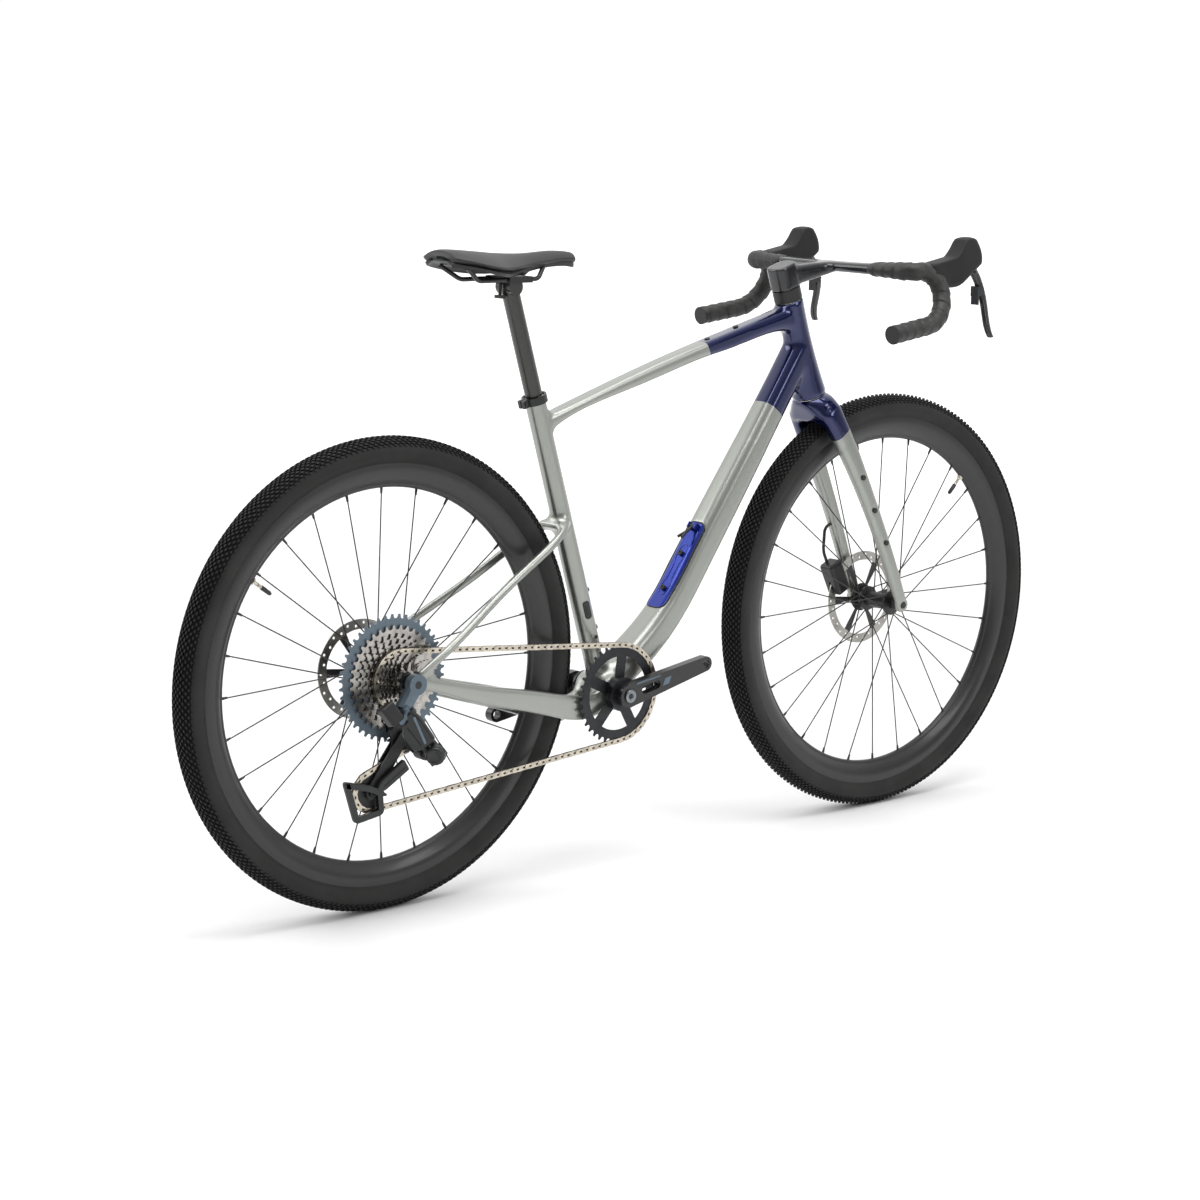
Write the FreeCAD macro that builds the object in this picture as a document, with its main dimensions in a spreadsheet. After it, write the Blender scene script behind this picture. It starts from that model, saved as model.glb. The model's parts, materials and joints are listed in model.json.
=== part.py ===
import FreeCAD, Part
import math
import os

import Sketcher
from FreeCAD import Placement, Rotation, Vector

# A gravel bicycle, in millimetres. X points forward, Y to the rider's left, Z up.
# The origin lies on the ground, midway between the axles.

SIZES = {
    # wheels
    "wheelbase": 1055.0,
    "wheel_radius": 356.0,
    "tyre_half_width": 23.5,
    "tyre_crown_half": 18.5,
    "tyre_shoulder_drop": 7.5,
    "tyre_belly_drop": 19.0,
    "tyre_crown_wall": 3.2,
    "tyre_bead_wall": 2.8,
    "tyre_fit": 0.2,
    "rim_radius": 317.0,
    "rim_half_width": 15.0,
    "rim_depth": 37.0,
    "rim_lip": 3.4,
    "rim_hook": 8.0,
    "rim_wall": 2.2,
    "rim_tip_half": 6.0,
    "spoke_radius": 1.0,
    "spoke_bite": 3.0,
    "spoke_splay": 1.7,
    "axle_radius": 6.0,
    "running_fit": 0.05,
    "hub_body_radius": 13.0,
    "hub_cap_radius": 10.0,
    "hub_flange_thick": 3.4,
    "front_hub_half": 49.8,
    "front_flange_right": 32.0,
    "front_flange_left": 24.0,
    "front_flange_radius": 21.0,
    "rear_hub_half": 70.8,
    "rear_flange_right": 16.0,
    "rear_flange_left": 36.0,
    "rear_flange_radius": 24.0,
    "front_rotor_radius": 80.0,
    "rear_rotor_radius": 76.0,
    "rotor_thick": 1.8,
    "rotor_track": 15.0,
    "rotor_seat_radius": 16.0,
    "rotor_seat_rim": 8.0,
    "rotor_arm_width": 7.0,
    "rotor_hole_radius": 2.2,
    "rotor_lock_half": 4.0,
    "front_rotor_offset": 39.5,
    "rear_rotor_offset": 55.5,
    # frame lines
    "rear_centre": 427.0,
    "bb_drop": 75.0,
    "seat_angle": 73.4,
    "seat_tube_length": 494.0,
    "head_angle": 71.5,
    "fork_rake": 55.0,
    "fork_length": 401.0,
    "head_length": 169.0,
    "frame_wall": 1.8,
    "cut_overrun": 4.0,
    # head tube and steering
    "head_top_radius": 24.0,
    "head_waist_radius": 23.5,
    "head_base_radius": 29.0,
    "head_bore_radius": 20.3,
    "bearing_height": 7.0,
    "upper_bearing_radius": 20.8,
    "lower_bearing_radius": 25.6,
    "steerer_radius": 14.3,
    "steerer_base_radius": 19.8,
    "steerer_taper": 60.0,
    "steerer_wall": 2.5,
    "crown_gap": 0.8,
    "spacer_stack": 21.0,
    "spacer_half_width": 20.0,
    "spacer_tail": 24.0,
    "spacer_groove": 0.8,
    # top tube
    "top_tube_seat_drop": 44.0,
    "top_tube_head_drop": 23.0,
    "top_tube_height": 29.0,
    "top_tube_width": 36.0,
    "top_tube_bow": 6.0,
    # down tube and its storage
    "down_tube_head_drop": 85.0,
    "down_tube_depth": 52.0,
    "down_tube_width": 54.0,
    "down_tube_bow": 35.0,
    "hatch_back": 97.0,
    "hatch_length": 158.0,
    "hatch_width": 40.0,
    "hatch_corner": 14.0,
    "hatch_gap": 0.3,
    "hatch_ear_half": 6.0,
    "hatch_ear_thick": 2.5,
    "hatch_ear_height": 10.0,
    "latch_radius": 3.6,
    "latch_pin_radius": 1.5,
    "latch_length": 32.0,
    "latch_inset": 9.0,
    "hatch_bolt_inset": 36.0,
    "latch_tip_spread": 5.0,
    "latch_tip_radius": 2.4,
    # seat tube
    "seat_tube_radius": 16.2,
    "post_radius": 13.6,
    "clamp_height": 12.0,
    "clamp_wall": 3.4,
    "clamp_slit": 2.2,
    "clamp_ear": 11.0,
    "clamp_ear_half": 7.5,
    "clamp_bolt_radius": 2.6,
    # bottom bracket
    "bb_shell_radius": 26.0,
    "bb_half_width": 37.0,
    "bb_bearing_radius": 20.6,
    "bb_bearing_depth": 9.0,
    "bb_cup_lip": 4.0,
    "spindle_radius": 14.4,
    # stays
    "dropout_thick": 7.5,
    "dropout_radius": 16.5,
    "chainstay_height": 41.0,
    "chainstay_width": 17.0,
    "chainstay_drop": 29.0,
    "left_stay_drop": 13.0,
    "seatstay_height": 15.0,
    "seatstay_width": 12.5,
    "seatstay_start": 288.0,
    "seatstay_splay": 24.0,
    "bridge_radius": 6.5,
    "bridge_setback": 24.0,
    # bottle and bag bolts
    "bolt_pitch": 64.0,
    "bolt_radius": 2.5,
    "bolt_head_radius": 4.4,
    "bolt_head_height": 3.0,
    "bolt_length": 6.0,
    "seat_bolt_height": 100.0,
    "top_bolt_offset": 20.0,
    # seatpost and saddle
    "post_length": 318.0,
    "post_top": 668.0,
    "post_wall": 2.4,
    "post_head_radius": 13.0,
    "post_head_half": 17.0,
    "saddle_length": 254.0,
    "saddle_width": 146.0,
    "saddle_setback": 131.0,
    "saddle_height": 52.0,
    "saddle_pad": 24.0,
    "saddle_dip": 10.0,
    "saddle_gap": 0.3,
    "saddle_side_bow": 1.0,
    "axle_head_gap": 0.3,
    "rail_radius": 3.5,
    "rail_half_gap": 22.0,
    "rail_height": 8.0,
    "rail_rise": 21.0,
    "rail_clamp_half": 38.0,
    "cradle_height": 4.6,
    "cradle_half_length": 22.0,
    "saddle_bolt_radius": 2.5,
    "saddle_bolt_half": 17.5,
    "saddle_bolt_drop": 17.0,
    # fork
    "fork_crown_half": 46.0,
    "fork_crown_depth": 52.0,
    "fork_leg_depth": 40.0,
    "fork_leg_width": 24.0,
    "fork_leg_splay": 55.5,
    "fork_arch_clear": 7.0,
    "fork_tip_thick": 11.0,
    "fork_tip_radius": 13.0,
    "axle_head_radius": 8.5,
    "axle_head_thick": 4.0,
    # bar and stem
    "stem_reach": 104.0,
    "stem_half_width": 20.0,
    "stem_height": 40.0,
    "stem_back": 23.0,
    "bar_rise": 15.0,
    "bar_top_depth": 36.0,
    "bar_top_height": 17.0,
    "bar_half_top": 166.0,
    "bar_bend": 22.0,
    "bar_radius": 12.0,
    "bar_hook": 33.0,
    "bar_drop_bend": 58.0,
    "bar_tail": 82.0,
    "bar_flare": 20.9,
    "bar_tail_tilt": 7.7,
    "tape_thick": 3.8,
    "tape_start": 104.0,
    "plug_thick": 3.5,
    # hoods and levers
    "hood_back": 10.0,
    "hood_length": 125.0,
    "hood_height": 86.0,
    "hood_below": 28.0,
    "hood_half_width": 17.0,
    "lever_half_width": 6.0,
    "lever_depth": 13.0,
    "lever_slot_gap": 1.2,
    "lever_pin_radius": 2.5,
    "lever_pin_half": 13.0,
    "lever_length": 108.0,
    "lever_lean": 33.0,
    "lever_flare": 16.0,
    "lever_pivot_along": 106.0,
    "lever_pivot_rise": 24.0,
    "lever_root": 7.0,
    "paddle_drop": 32.0,
    "paddle_length": 30.0,
    "paddle_width": 15.0,
    "paddle_thick": 3.0,
    "paddle_gap": 0.5,
    "paddle_swing_gap": 1.6,
    "paddle_cheek": 1.6,
    "paddle_pin_radius": 1.5,
    # brakes
    "caliper_length": 58.0,
    "caliper_width": 31.0,
    "caliper_height": 30.0,
    "caliper_slot": 5.0,
    "caliper_round": 6.0,
    "front_caliper_back": 66.0,
    "front_caliper_rise": 42.0,
    "rear_caliper_front": 62.0,
    "rear_caliper_rise": 34.0,
    "hose_radius": 2.6,
    "hose_port_rise": 150.0,
    "hose_out": 48.0,
    "hose_bow": 20.0,
    "hose_bend": 9.0,
    # chain drive
    "chain_pitch": 12.7,
    "chain_line": 43.5,
    "roller_radius": 3.85,
    "roller_half": 1.1,
    "roller_fit": 0.15,
    "link_plate": 0.6,
    "link_plate_gap": 0.05,
    "link_half_height": 4.1,
    "pin_radius": 1.75,
    "pin_fit": 0.1,
    "tooth_rise": 2.6,
    "tooth_half_tip": 1.6,
    "sprocket_thick": 1.6,
    "cog_pitch": 3.35,
    "cog_web": 4.0,
    "freehub_radius": 13.4,
    "freehub_bore": 8.6,
    "ring_rim_width": 18.0,
    "ring_hub_radius": 27.0,
    "ring_arm_width": 19.0,
    # cranks
    "crank_length": 164.0,
    "crank_angle": 11.2,
    "crank_inner": 58.5,
    "crank_thick": 14.5,
    "crank_boss_radius": 18.5,
    "crank_tip_radius": 12.0,
    "crank_slot_half": 6.5,
    "crank_slot_start": 32.0,
    "crank_slot_length": 26.0,
    "pedal_hole_radius": 7.14,
    "crank_cap_radius": 11.0,
    "crank_cap_proud": 1.5,
    # derailleur
    "cage_pivot_ahead": 33.5,
    "cage_pivot_below": 109.0,
    "guide_back": 28.0,
    "guide_up": 24.0,
    "tension_back": 86.0,
    "tension_down": 52.0,
    "pulley_axle_radius": 3.0,
    "pulley_thick": 1.8,
    "cage_plate": 2.0,
    "cage_clear": 1.2,
    "cage_rim": 11.0,
    "cage_arm_half": 9.0,
    "cage_hub_radius": 8.0,
    "link_ahead": 35.0,
    "link_out": 20.0,
    "link_down": 56.0,
    "link_spread": 14.0,
    "link_barrel_radius": 6.0,
    "link_barrel_half": 7.0,
    "link_pin_radius": 2.5,
    "link_ear_thick": 3.5,
    "link_ear_gap": 0.3,
    "link_web_half": 5.6,
    "mount_radius": 15.5,
    "mount_thick": 13.0,
    "mount_pivot_back": 14.0,
    "mount_pivot_below": 40.0,
    "mount_pivot_out": 6.0,
    "knuckle_radius": 13.0,
    "knuckle_length": 17.0,
    "battery_length": 32.0,
    "battery_width": 21.0,
    "battery_height": 24.0,
    "battery_back": 33.0,
    "battery_up": 2.0,
    "battery_in": 4.0,
    "battery_round": 4.0,
}

# Counts of things that repeat, tooth counts, and the direction the derailleur moves in.
SPOKES = 28
SPOKE_CROSS_DEGREES = 52.0
ROTOR_ARMS = 6
ROTOR_HOLES = 30
RING_TEETH = 38
RING_ARMS = 5
COG_TEETH = (10, 11, 12, 13, 15, 17, 19, 21, 24, 28, 32, 38, 46)
DRIVE_COG = 7
GUIDE_TEETH = 12
TENSION_TEETH = 14
DERAILLEUR_MOVE_SHARES = (-0.417, 0.67, -0.5)

# Stations of the lofted tubes: place along the line, bow, depth, width and corner rounding.
TOP_TUBE_SHARES = (
    (0.00, -1.0, 1.05, 0.78, 0.70),
    (0.08, 0.1, 0.64, 0.86, 0.70),
    (0.30, 0.8, 0.70, 0.88, 0.65),
    (0.62, 0.9, 0.83, 0.94, 0.60),
    (0.86, 0.3, 1.00, 1.00, 0.60),
    (0.95, -0.4, 1.30, 1.04, 0.60),
    (1.00, -1.6, 1.80, 1.06, 0.60),
)
DOWN_TUBE_SHARES = (
    (0.00, 0.00, 1.02, 1.12, 0.62),
    (0.12, 0.58, 1.00, 1.08, 0.60),
    (0.27, 1.00, 0.97, 0.98, 0.58),
    (0.39, 0.88, 0.98, 0.95, 0.58),
    (0.64, 0.53, 0.97, 0.92, 0.64),
    (0.84, 0.24, 0.92, 0.88, 0.70),
    (1.00, 0.00, 0.95, 0.86, 0.72),
)
CHAINSTAY_SHARES = (
    (0.04, 0.50, 0.95, 1.40, 0.55, 0.32),
    (0.20, 1.00, 0.97, 0.78, 0.60, 0.44),
    (0.32, 0.86, 0.90, 0.90, 0.62, 0.555),
    (0.58, 0.56, 0.76, 0.96, 0.66, 0.752),
    (0.86, 0.10, 0.52, 0.82, 0.70, 0.945),
    (0.96, 0.00, 0.48, 0.76, 0.70, 0.985),
)
SEATSTAY_SHARES = (
    (0.00, 0.12, 1.00, 1.10),
    (0.11, 0.47, 1.00, 1.00),
    (0.22, 0.545, 0.98, 1.00),
    (0.55, 0.74, 0.94, 0.96),
    (0.92, 0.985, 0.92, 0.90),
    (0.985, 0.99, 0.92, 0.86),
)
FORK_LEG_SHARES = (
    (0.06, 0.60, 1.12, 1.30),
    (0.19, 0.755, 0.98, 1.00),
    (0.38, 0.845, 0.80, 0.86),
    (0.67, 0.94, 0.66, 0.74),
    (0.90, 1.00, 0.60, 0.58),
    (0.985, 1.01, 0.58, 0.46),
)
# Outline of a hood seen from the side; a True marks a point that an arc passes through.
HOOD_SHARES = (
    (0.00, 0.47, False),
    (0.42, 0.58, False),
    (0.505, 0.71, True),
    (0.58, 0.88, False),
    (0.77, 1.00, True),
    (0.94, 0.85, False),
    (1.00, 0.66, True),
    (0.985, 0.44, False),
    (0.64, 0.09, False),
    (0.48, 0.00, True),
    (0.30, 0.06, False),
    (0.00, 0.12, False),
)
HOOD_WIDTH_SHARES = ((-1.0, 0.78), (-0.72, 0.95), (0.0, 1.0), (0.72, 0.95), (1.0, 0.78))
# Brake lever: place down the blade, forward lean, outward flare, width and depth.
LEVER_SHARES = (
    (0.00, 0.00, 0.00, 1.00, 1.00),
    (0.22, 0.55, 0.00, 0.95, 0.86),
    (0.50, 0.82, 0.30, 0.80, 0.66),
    (0.82, 0.86, 0.80, 0.78, 0.60),
    (1.00, 1.10, 1.00, 0.70, 0.50),
)
# Saddle: place from tail to nose, half width, top height, side drop.
SADDLE_SHARES = (
    (0.00, 0.50, 0.50, 0.80),
    (0.06, 0.80, 0.62, 1.20),
    (0.20, 1.00, 0.45, 1.70),
    (0.40, 0.66, -0.35, 1.55),
    (0.60, 0.345, -0.15, 1.15),
    (0.82, 0.250, 0.10, 0.85),
    (0.96, 0.185, -0.30, 0.62),
    (1.00, 0.095, -0.75, 0.40),
)
CORNER_SHARE = 0.99


class Size(float):
    """A length that remembers the sheet expression it was worked out from."""

    def __new__(cls, value, text):
        made = super().__new__(cls, value)
        made.text = text
        return made

    def __add__(self, other):
        return Size(float(self) + float(other), f"({self.text} + {text_of(other)})")

    def __radd__(self, other):
        return Size(float(other) + float(self), f"({text_of(other)} + {self.text})")

    def __sub__(self, other):
        return Size(float(self) - float(other), f"({self.text} - {text_of(other)})")

    def __rsub__(self, other):
        return Size(float(other) - float(self), f"({text_of(other)} - {self.text})")

    def __mul__(self, other):
        return Size(float(self) * float(other), f"({self.text} * {text_of(other)})")

    def __rmul__(self, other):
        return Size(float(other) * float(self), f"({text_of(other)} * {self.text})")

    def __truediv__(self, other):
        return Size(float(self) / float(other), f"({self.text} / {text_of(other)})")

    def __neg__(self):
        return Size(-float(self), f"(-{self.text})")


def text_of(number):
    """The sheet expression of a number: its own text, or its digits."""
    return number.text if isinstance(number, Size) else repr(float(number))


class SizeSheet:
    """The spreadsheet of driving sizes, read by name."""

    def __init__(self, document):
        self.sheet = document.addObject("Spreadsheet::Sheet", "Sizes")
        for row, (alias, value) in enumerate(SIZES.items(), start=1):
            self.sheet.set(f"A{row}", alias)
            self.sheet.set(f"B{row}", str(value))
            self.sheet.setAlias(f"B{row}", alias)
        document.recompute()

    def __getattr__(self, alias):
        return Size(self.sheet.get(alias), f"Sizes.{alias}")


doc = FreeCAD.newDocument("GravelBike")
s = SizeSheet(doc)
NODES = []

X_AXIS = Vector(1, 0, 0)
Y_AXIS = Vector(0, 1, 0)
Z_AXIS = Vector(0, 0, 1)
MIDDLE = Vector(0, 0, 0)


def bind(feature, settings):
    """Set each property of a feature and tie it to the sheet."""
    for name, value in settings.items():
        feature.setExpression(name, text_of(value))


def node(feature, name):
    """Give a sub-part the name that its file takes."""
    feature.Label = name
    NODES.append(feature)
    return feature


def shape_node(name, shape):
    """A sub-part whose shape is worked out here from the sheet."""
    feature = doc.addObject("Part::Feature", name)
    feature.Shape = shape
    return node(feature, name)


def placed_node(name, shape, base):
    """A sub-part drawn about its own middle, then put in its place by the sheet."""
    feature = shape_node(name, shape)
    feature.Placement = Placement(Vector(*base), Rotation())
    place(feature, base)
    return feature


def via(x, y):
    """A point that an arc of an outline passes through."""
    return (x, y, True)


class OutlineEdge:
    """One line or arc of an outline, with the points that hold it."""

    def __init__(self, start, end, middle=None):
        self.start = start
        self.middle = middle
        first = Vector(start[0], start[1], 0)
        last = Vector(end[0], end[1], 0)
        self.start_end = (1, 2)
        if middle is None:
            self.geometry = Part.LineSegment(first, last)
            return
        bend = Vector(middle[0], middle[1], 0)
        self.geometry = Part.Arc(first, bend, last)
        if (bend - first).cross(last - bend).z < 0:
            self.start_end = (2, 1)


def outline_edges(points):
    """Lines and three-point arcs through the points of a closed outline."""
    edges = []
    ring = list(points) + [points[0]]
    index = 0
    while index < len(ring) - 1:
        middle = ring[index + 1]
        if len(middle) == 3:
            edges.append(OutlineEdge(ring[index], ring[index + 2], middle))
            index += 2
        else:
            edges.append(OutlineEdge(ring[index], middle))
            index += 1
    return edges


def hold_point(sketch, edge, end, point):
    """Tie a point of a sketch to the sheet sizes that place it."""
    for value, distance, axis in ((point[0], "DistanceX", -2), (point[1], "DistanceY", -1)):
        if abs(value) < 1e-9:
            sketch.addConstraint(Sketcher.Constraint("PointOnObject", edge, end, axis))
            continue
        ends = (-1, 1, edge, end) if value > 0 else (edge, end, -1, 1)
        held = sketch.addConstraint(Sketcher.Constraint(distance, *ends, abs(float(value))))
        if isinstance(value, Size):
            sketch.setExpression(f"Constraints[{held}]", text_of(value if value > 0 else -value))


def sketch_outlines(body, name, plane, outlines):
    """A sketch on one of the body's own planes, with every corner tied to the sheet."""
    sketch = body.newObject("Sketcher::SketchObject", name)
    origin = [item for item in body.Origin.OriginFeatures if item.Role == plane][0]
    sketch.AttachmentSupport = [(origin, "")]
    sketch.MapMode = "FlatFace"
    for points in outlines:
        edges = outline_edges(points)
        first = sketch.GeometryCount
        for edge in edges:
            sketch.addGeometry(edge.geometry, False)
        for number, edge in enumerate(edges):
            step = (number + 1) % len(edges)
            start, end = edge.start_end
            following = edges[step].start_end[0]
            meeting = Sketcher.Constraint("Coincident", first + number, end, first + step, following)
            sketch.addConstraint(meeting)
            hold_point(sketch, first + number, start, edge.start)
            if edge.middle is not None:
                bend = sketch.addGeometry(Part.Point(Vector(edge.middle[0], edge.middle[1], 0)), True)
                hold_point(sketch, bend, 1, edge.middle)
                sketch.addConstraint(Sketcher.Constraint("PointOnObject", bend, 1, first + number))
    return sketch


def place(feature, base):
    """Put a feature at a point, tied to the sheet where the point is."""
    for axis, value in zip("xyz", base):
        if isinstance(value, Size):
            feature.setExpression(f"Placement.Base.{axis}", text_of(value))


def turned(name, outlines, base=(0, 0, 0), axis=Y_AXIS):
    """A body turned about an axis; outlines are given as radius and distance along it."""
    body = doc.addObject("PartDesign::Body", name)
    sketch = sketch_outlines(body, name + "_outline", "XY_Plane", outlines)
    turn = body.newObject("PartDesign::Revolution", name + "_turn")
    turn.Profile = sketch
    turn.ReferenceAxis = (sketch, ["V_Axis"])
    turn.Angle = 360
    sketch.Visibility = False
    body.Placement = Placement(Vector(*base), Rotation(Y_AXIS, axis))
    if axis == Y_AXIS:
        place(body, base)
    return node(body, name)


def unit(vector):
    """The vector at length one."""
    return Vector(vector).normalize()


def rod(start, end, radius):
    """A round bar between two points."""
    return Part.makeCylinder(radius, (end - start).Length, start, end - start)


def disc(centre, radius, thick, axis=Y_AXIS):
    """A round plate centred on a point."""
    return Part.makeCylinder(radius, thick, centre - unit(axis) * (thick / 2), axis)


def brick(centre, along, up, length, width, height):
    """A block centred on a point, lying along one direction."""
    block = Part.makeBox(length, width, height, Vector(-length / 2, -width / 2, -height / 2))
    side = unit(up.cross(along))
    turn = Rotation(unit(along), side, unit(along.cross(side)), "XZY")
    block.Placement = Placement(centre, turn)
    return block


def rounded_ring(centre, along, up, half_up, half_side, corner_share):
    """A rounded rectangle square to a line, for lofting."""
    along = unit(along)
    up = unit(up - along * up.dot(along))
    side = along.cross(up)
    corner = min(half_up, half_side) * min(corner_share, CORNER_SHARE)
    bend = corner * (1 - math.sqrt(0.5))
    edges = []
    corners = ((1, 1), (-1, 1), (-1, -1), (1, -1))

    def at(u, v):
        return centre + up * u + side * v

    starts = []
    for u, v in corners:
        first = at(u * half_up, v * (half_side - corner))
        last = at(u * (half_up - corner), v * half_side)
        middle = at(u * (half_up - bend), v * (half_side - bend))
        starts.append((first, middle, last) if u * v > 0 else (last, middle, first))
    for number, (first, middle, last) in enumerate(starts):
        edges.append(Part.Arc(first, middle, last).toShape())
        edges.append(Part.LineSegment(last, starts[(number + 1) % len(starts)][0]).toShape())
    return Part.Wire(edges)


def loft(rings):
    """A smooth solid through a row of closed rings."""
    return Part.makeLoft(rings, True, False)


def mirrored(shape):
    """The same shape on the other side of the bicycle."""
    return shape.mirror(MIDDLE, Y_AXIS)


def swept(edges, radius):
    """A round bar along lines and arcs."""
    path = Part.Wire([edge.toShape() for edge in edges])
    first = path.Edges[0]
    start = first.valueAt(first.FirstParameter)
    profile = Part.Wire(Part.makeCircle(radius, start, first.tangentAt(first.FirstParameter)))
    return path.makePipeShell([profile], True, False)


def moved(base, out):
    """A place with this much added towards the rider's left."""
    return (base[0], base[1] + out, base[2])


def one_solid(shape):
    """The largest solid of a shape that a cut left in pieces."""
    return max(shape.Solids, key=lambda solid: solid.Volume)


def polar(radius, degrees):
    """A point of the XZ plane from its radius and its angle above forward."""
    angle = math.radians(degrees)
    return Vector(radius * math.cos(angle), 0, radius * math.sin(angle))


# Lines of the frame

rear_axle_at = (-s.wheelbase / 2, Size(0, "0"), s.wheel_radius)
front_axle_at = (s.wheelbase / 2, Size(0, "0"), s.wheel_radius)
bracket_at = (-s.wheelbase / 2 + s.rear_centre, Size(0, "0"), s.wheel_radius - s.bb_drop)
rear_hub = Vector(*rear_axle_at)
front_hub = Vector(*front_axle_at)
bracket = Vector(*bracket_at)

seat_up = Vector(-math.cos(math.radians(s.seat_angle)), 0, math.sin(math.radians(s.seat_angle)))
steer_up = Vector(-math.cos(math.radians(s.head_angle)), 0, math.sin(math.radians(s.head_angle)))
steer_ahead = Vector(steer_up.z, 0, -steer_up.x)
steer_foot = front_hub - steer_ahead * s.fork_rake


def on_steerer(distance):
    """A point on the steering axis, this far above the lower headset."""
    return steer_foot + steer_up * (s.fork_length + distance)


def on_seat_tube(distance):
    """A point on the seat tube's axis, this far above the bottom bracket."""
    return bracket + seat_up * distance


# Wheels

def make_tyre(name, centre):
    """A hollow tyre whose beads sit inside the rim's hooks."""
    hook = s.rim_half_width - s.rim_lip - s.tyre_fit
    bead = s.rim_radius - s.rim_hook + s.tyre_fit
    shelf = s.rim_radius + s.tyre_fit
    shoulder = s.wheel_radius - s.tyre_shoulder_drop
    belly = s.wheel_radius - s.tyre_belly_drop
    inside = hook - s.tyre_bead_wall
    crown = s.wheel_radius - s.tyre_crown_wall
    turned(name, [[
        (bead, inside), (bead, hook), (shelf, hook), (shelf, s.rim_half_width),
        via(belly, s.tyre_half_width), (shoulder, s.tyre_crown_half), via(s.wheel_radius, 0),
        (shoulder, -s.tyre_crown_half), via(belly, -s.tyre_half_width),
        (shelf, -s.rim_half_width), (shelf, -hook), (bead, -hook), (bead, -inside),
        (shelf, -inside), via(crown, 0), (shelf, inside),
    ]], centre)


def make_rim(name, centre):
    """A deep hollow rim with hooked edges and a rounded inner edge."""
    lip = s.rim_half_width - s.rim_lip
    bed = s.rim_radius - s.rim_hook
    inner = s.rim_radius - s.rim_depth
    nose = inner + s.rim_tip_half
    waist = (s.rim_radius + inner) / 2
    flank = s.rim_half_width - s.rim_wall / 2
    room = s.rim_half_width - s.rim_wall * 2
    outer = [
        (s.rim_radius, s.rim_half_width), (s.rim_radius, lip), (bed, lip), (bed, -lip),
        (s.rim_radius, -lip), (s.rim_radius, -s.rim_half_width), via(waist, -flank),
        (nose, -s.rim_tip_half), via(inner, 0), (nose, s.rim_tip_half), via(waist, flank),
    ]
    hollow = [
        (bed - s.rim_wall, room), (bed - s.rim_wall, -room),
        (nose + s.rim_wall, -s.rim_tip_half), (nose + s.rim_wall, s.rim_tip_half),
    ]
    turned(name, [outer, hollow], centre)


def make_hub(name, centre, half, right, left, flange, rotor_at):
    """A hub shell with two spoke flanges, end caps and a seat for the brake rotor."""
    bore = s.axle_radius + s.running_fit
    body = s.hub_body_radius
    thick = s.hub_flange_thick
    seat_end = rotor_at + s.rotor_lock_half
    points = [
        (bore, -half), (s.hub_cap_radius, -half), (s.hub_cap_radius, -right - thick),
        (flange, -right - thick / 2), (flange, -right + thick / 2), (body, -right + thick),
        (body, left - thick), (flange, left - thick / 2), (flange, left + thick / 2),
        (s.rotor_seat_radius, left + thick), (s.rotor_seat_radius, seat_end),
        (s.hub_cap_radius, seat_end), (s.hub_cap_radius, half), (bore, half),
    ]
    turned(name, [points], centre)


def spoke_set(centre, right, left, flange):
    """Crossed spokes from the two flanges to the middle of the rim."""
    spokes = []
    rim = s.rim_radius - s.rim_depth + s.spoke_bite
    seat = flange - s.spoke_bite
    for number in range(SPOKES):
        turn = 360.0 * number / SPOKES
        flange_at = -right if number % 2 == 0 else left
        leads = 1 if number // 2 % 2 == 0 else -1
        start = polar(seat, turn + leads * SPOKE_CROSS_DEGREES)
        start = start + Y_AXIS * (flange_at + leads * s.spoke_splay)
        spokes.append(rod(Vector(*centre) + start, Vector(*centre) + polar(rim, turn), s.spoke_radius))
    return Part.makeCompound(spokes)


def ring_window(inner, outer, start, end):
    """A window between two radii and two angles, as a wire in the XZ plane."""
    middle = (start + end) / 2
    return Part.Wire([
        Part.Arc(polar(outer, start), polar(outer, middle), polar(outer, end)).toShape(),
        Part.LineSegment(polar(outer, end), polar(inner, end)).toShape(),
        Part.Arc(polar(inner, end), polar(inner, middle), polar(inner, start)).toShape(),
        Part.LineSegment(polar(inner, start), polar(outer, start)).toShape(),
    ])


def circle_wire(centre, radius):
    """A circle in the XZ plane."""
    return Part.Wire(Part.makeCircle(radius, centre, Y_AXIS))


def flat(outer, holes, thick):
    """A plate of the XZ plane with holes, centred on that plane."""
    solids = []
    for wire in [outer] + holes:
        wire.translate(-Y_AXIS * (thick / 2))
        solids.append(Part.Face(wire).extrude(Y_AXIS * thick))
    return solids[0].cut(solids[1:]) if holes else solids[0]


def rotor_shape(radius):
    """A brake rotor: drilled track, arms, and a lockring boss on the hub's seat."""
    bore = s.rotor_seat_radius + s.running_fit
    seat = s.rotor_seat_radius + s.rotor_seat_rim
    track = radius - s.rotor_track
    holes = [circle_wire(MIDDLE, bore)]
    share = 360.0 / ROTOR_ARMS
    blocked = math.degrees(s.rotor_arm_width / track)
    for arm in range(ROTOR_ARMS):
        holes.append(ring_window(seat, track, arm * share + blocked, (arm + 1) * share - blocked))
    middle = (track + radius) / 2
    for number in range(ROTOR_HOLES):
        reach = middle + s.rotor_hole_radius * (1 if number % 2 else -1)
        holes.append(circle_wire(polar(reach, 360.0 * number / ROTOR_HOLES), s.rotor_hole_radius))
    rotor = flat(circle_wire(MIDDLE, radius), holes, s.rotor_thick)
    boss = disc(MIDDLE, seat - s.rotor_seat_rim / 4, s.rotor_lock_half * 2)
    return rotor.fuse(boss.cut(disc(MIDDLE, bore, s.rotor_lock_half * 3))).removeSplitter()


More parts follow.
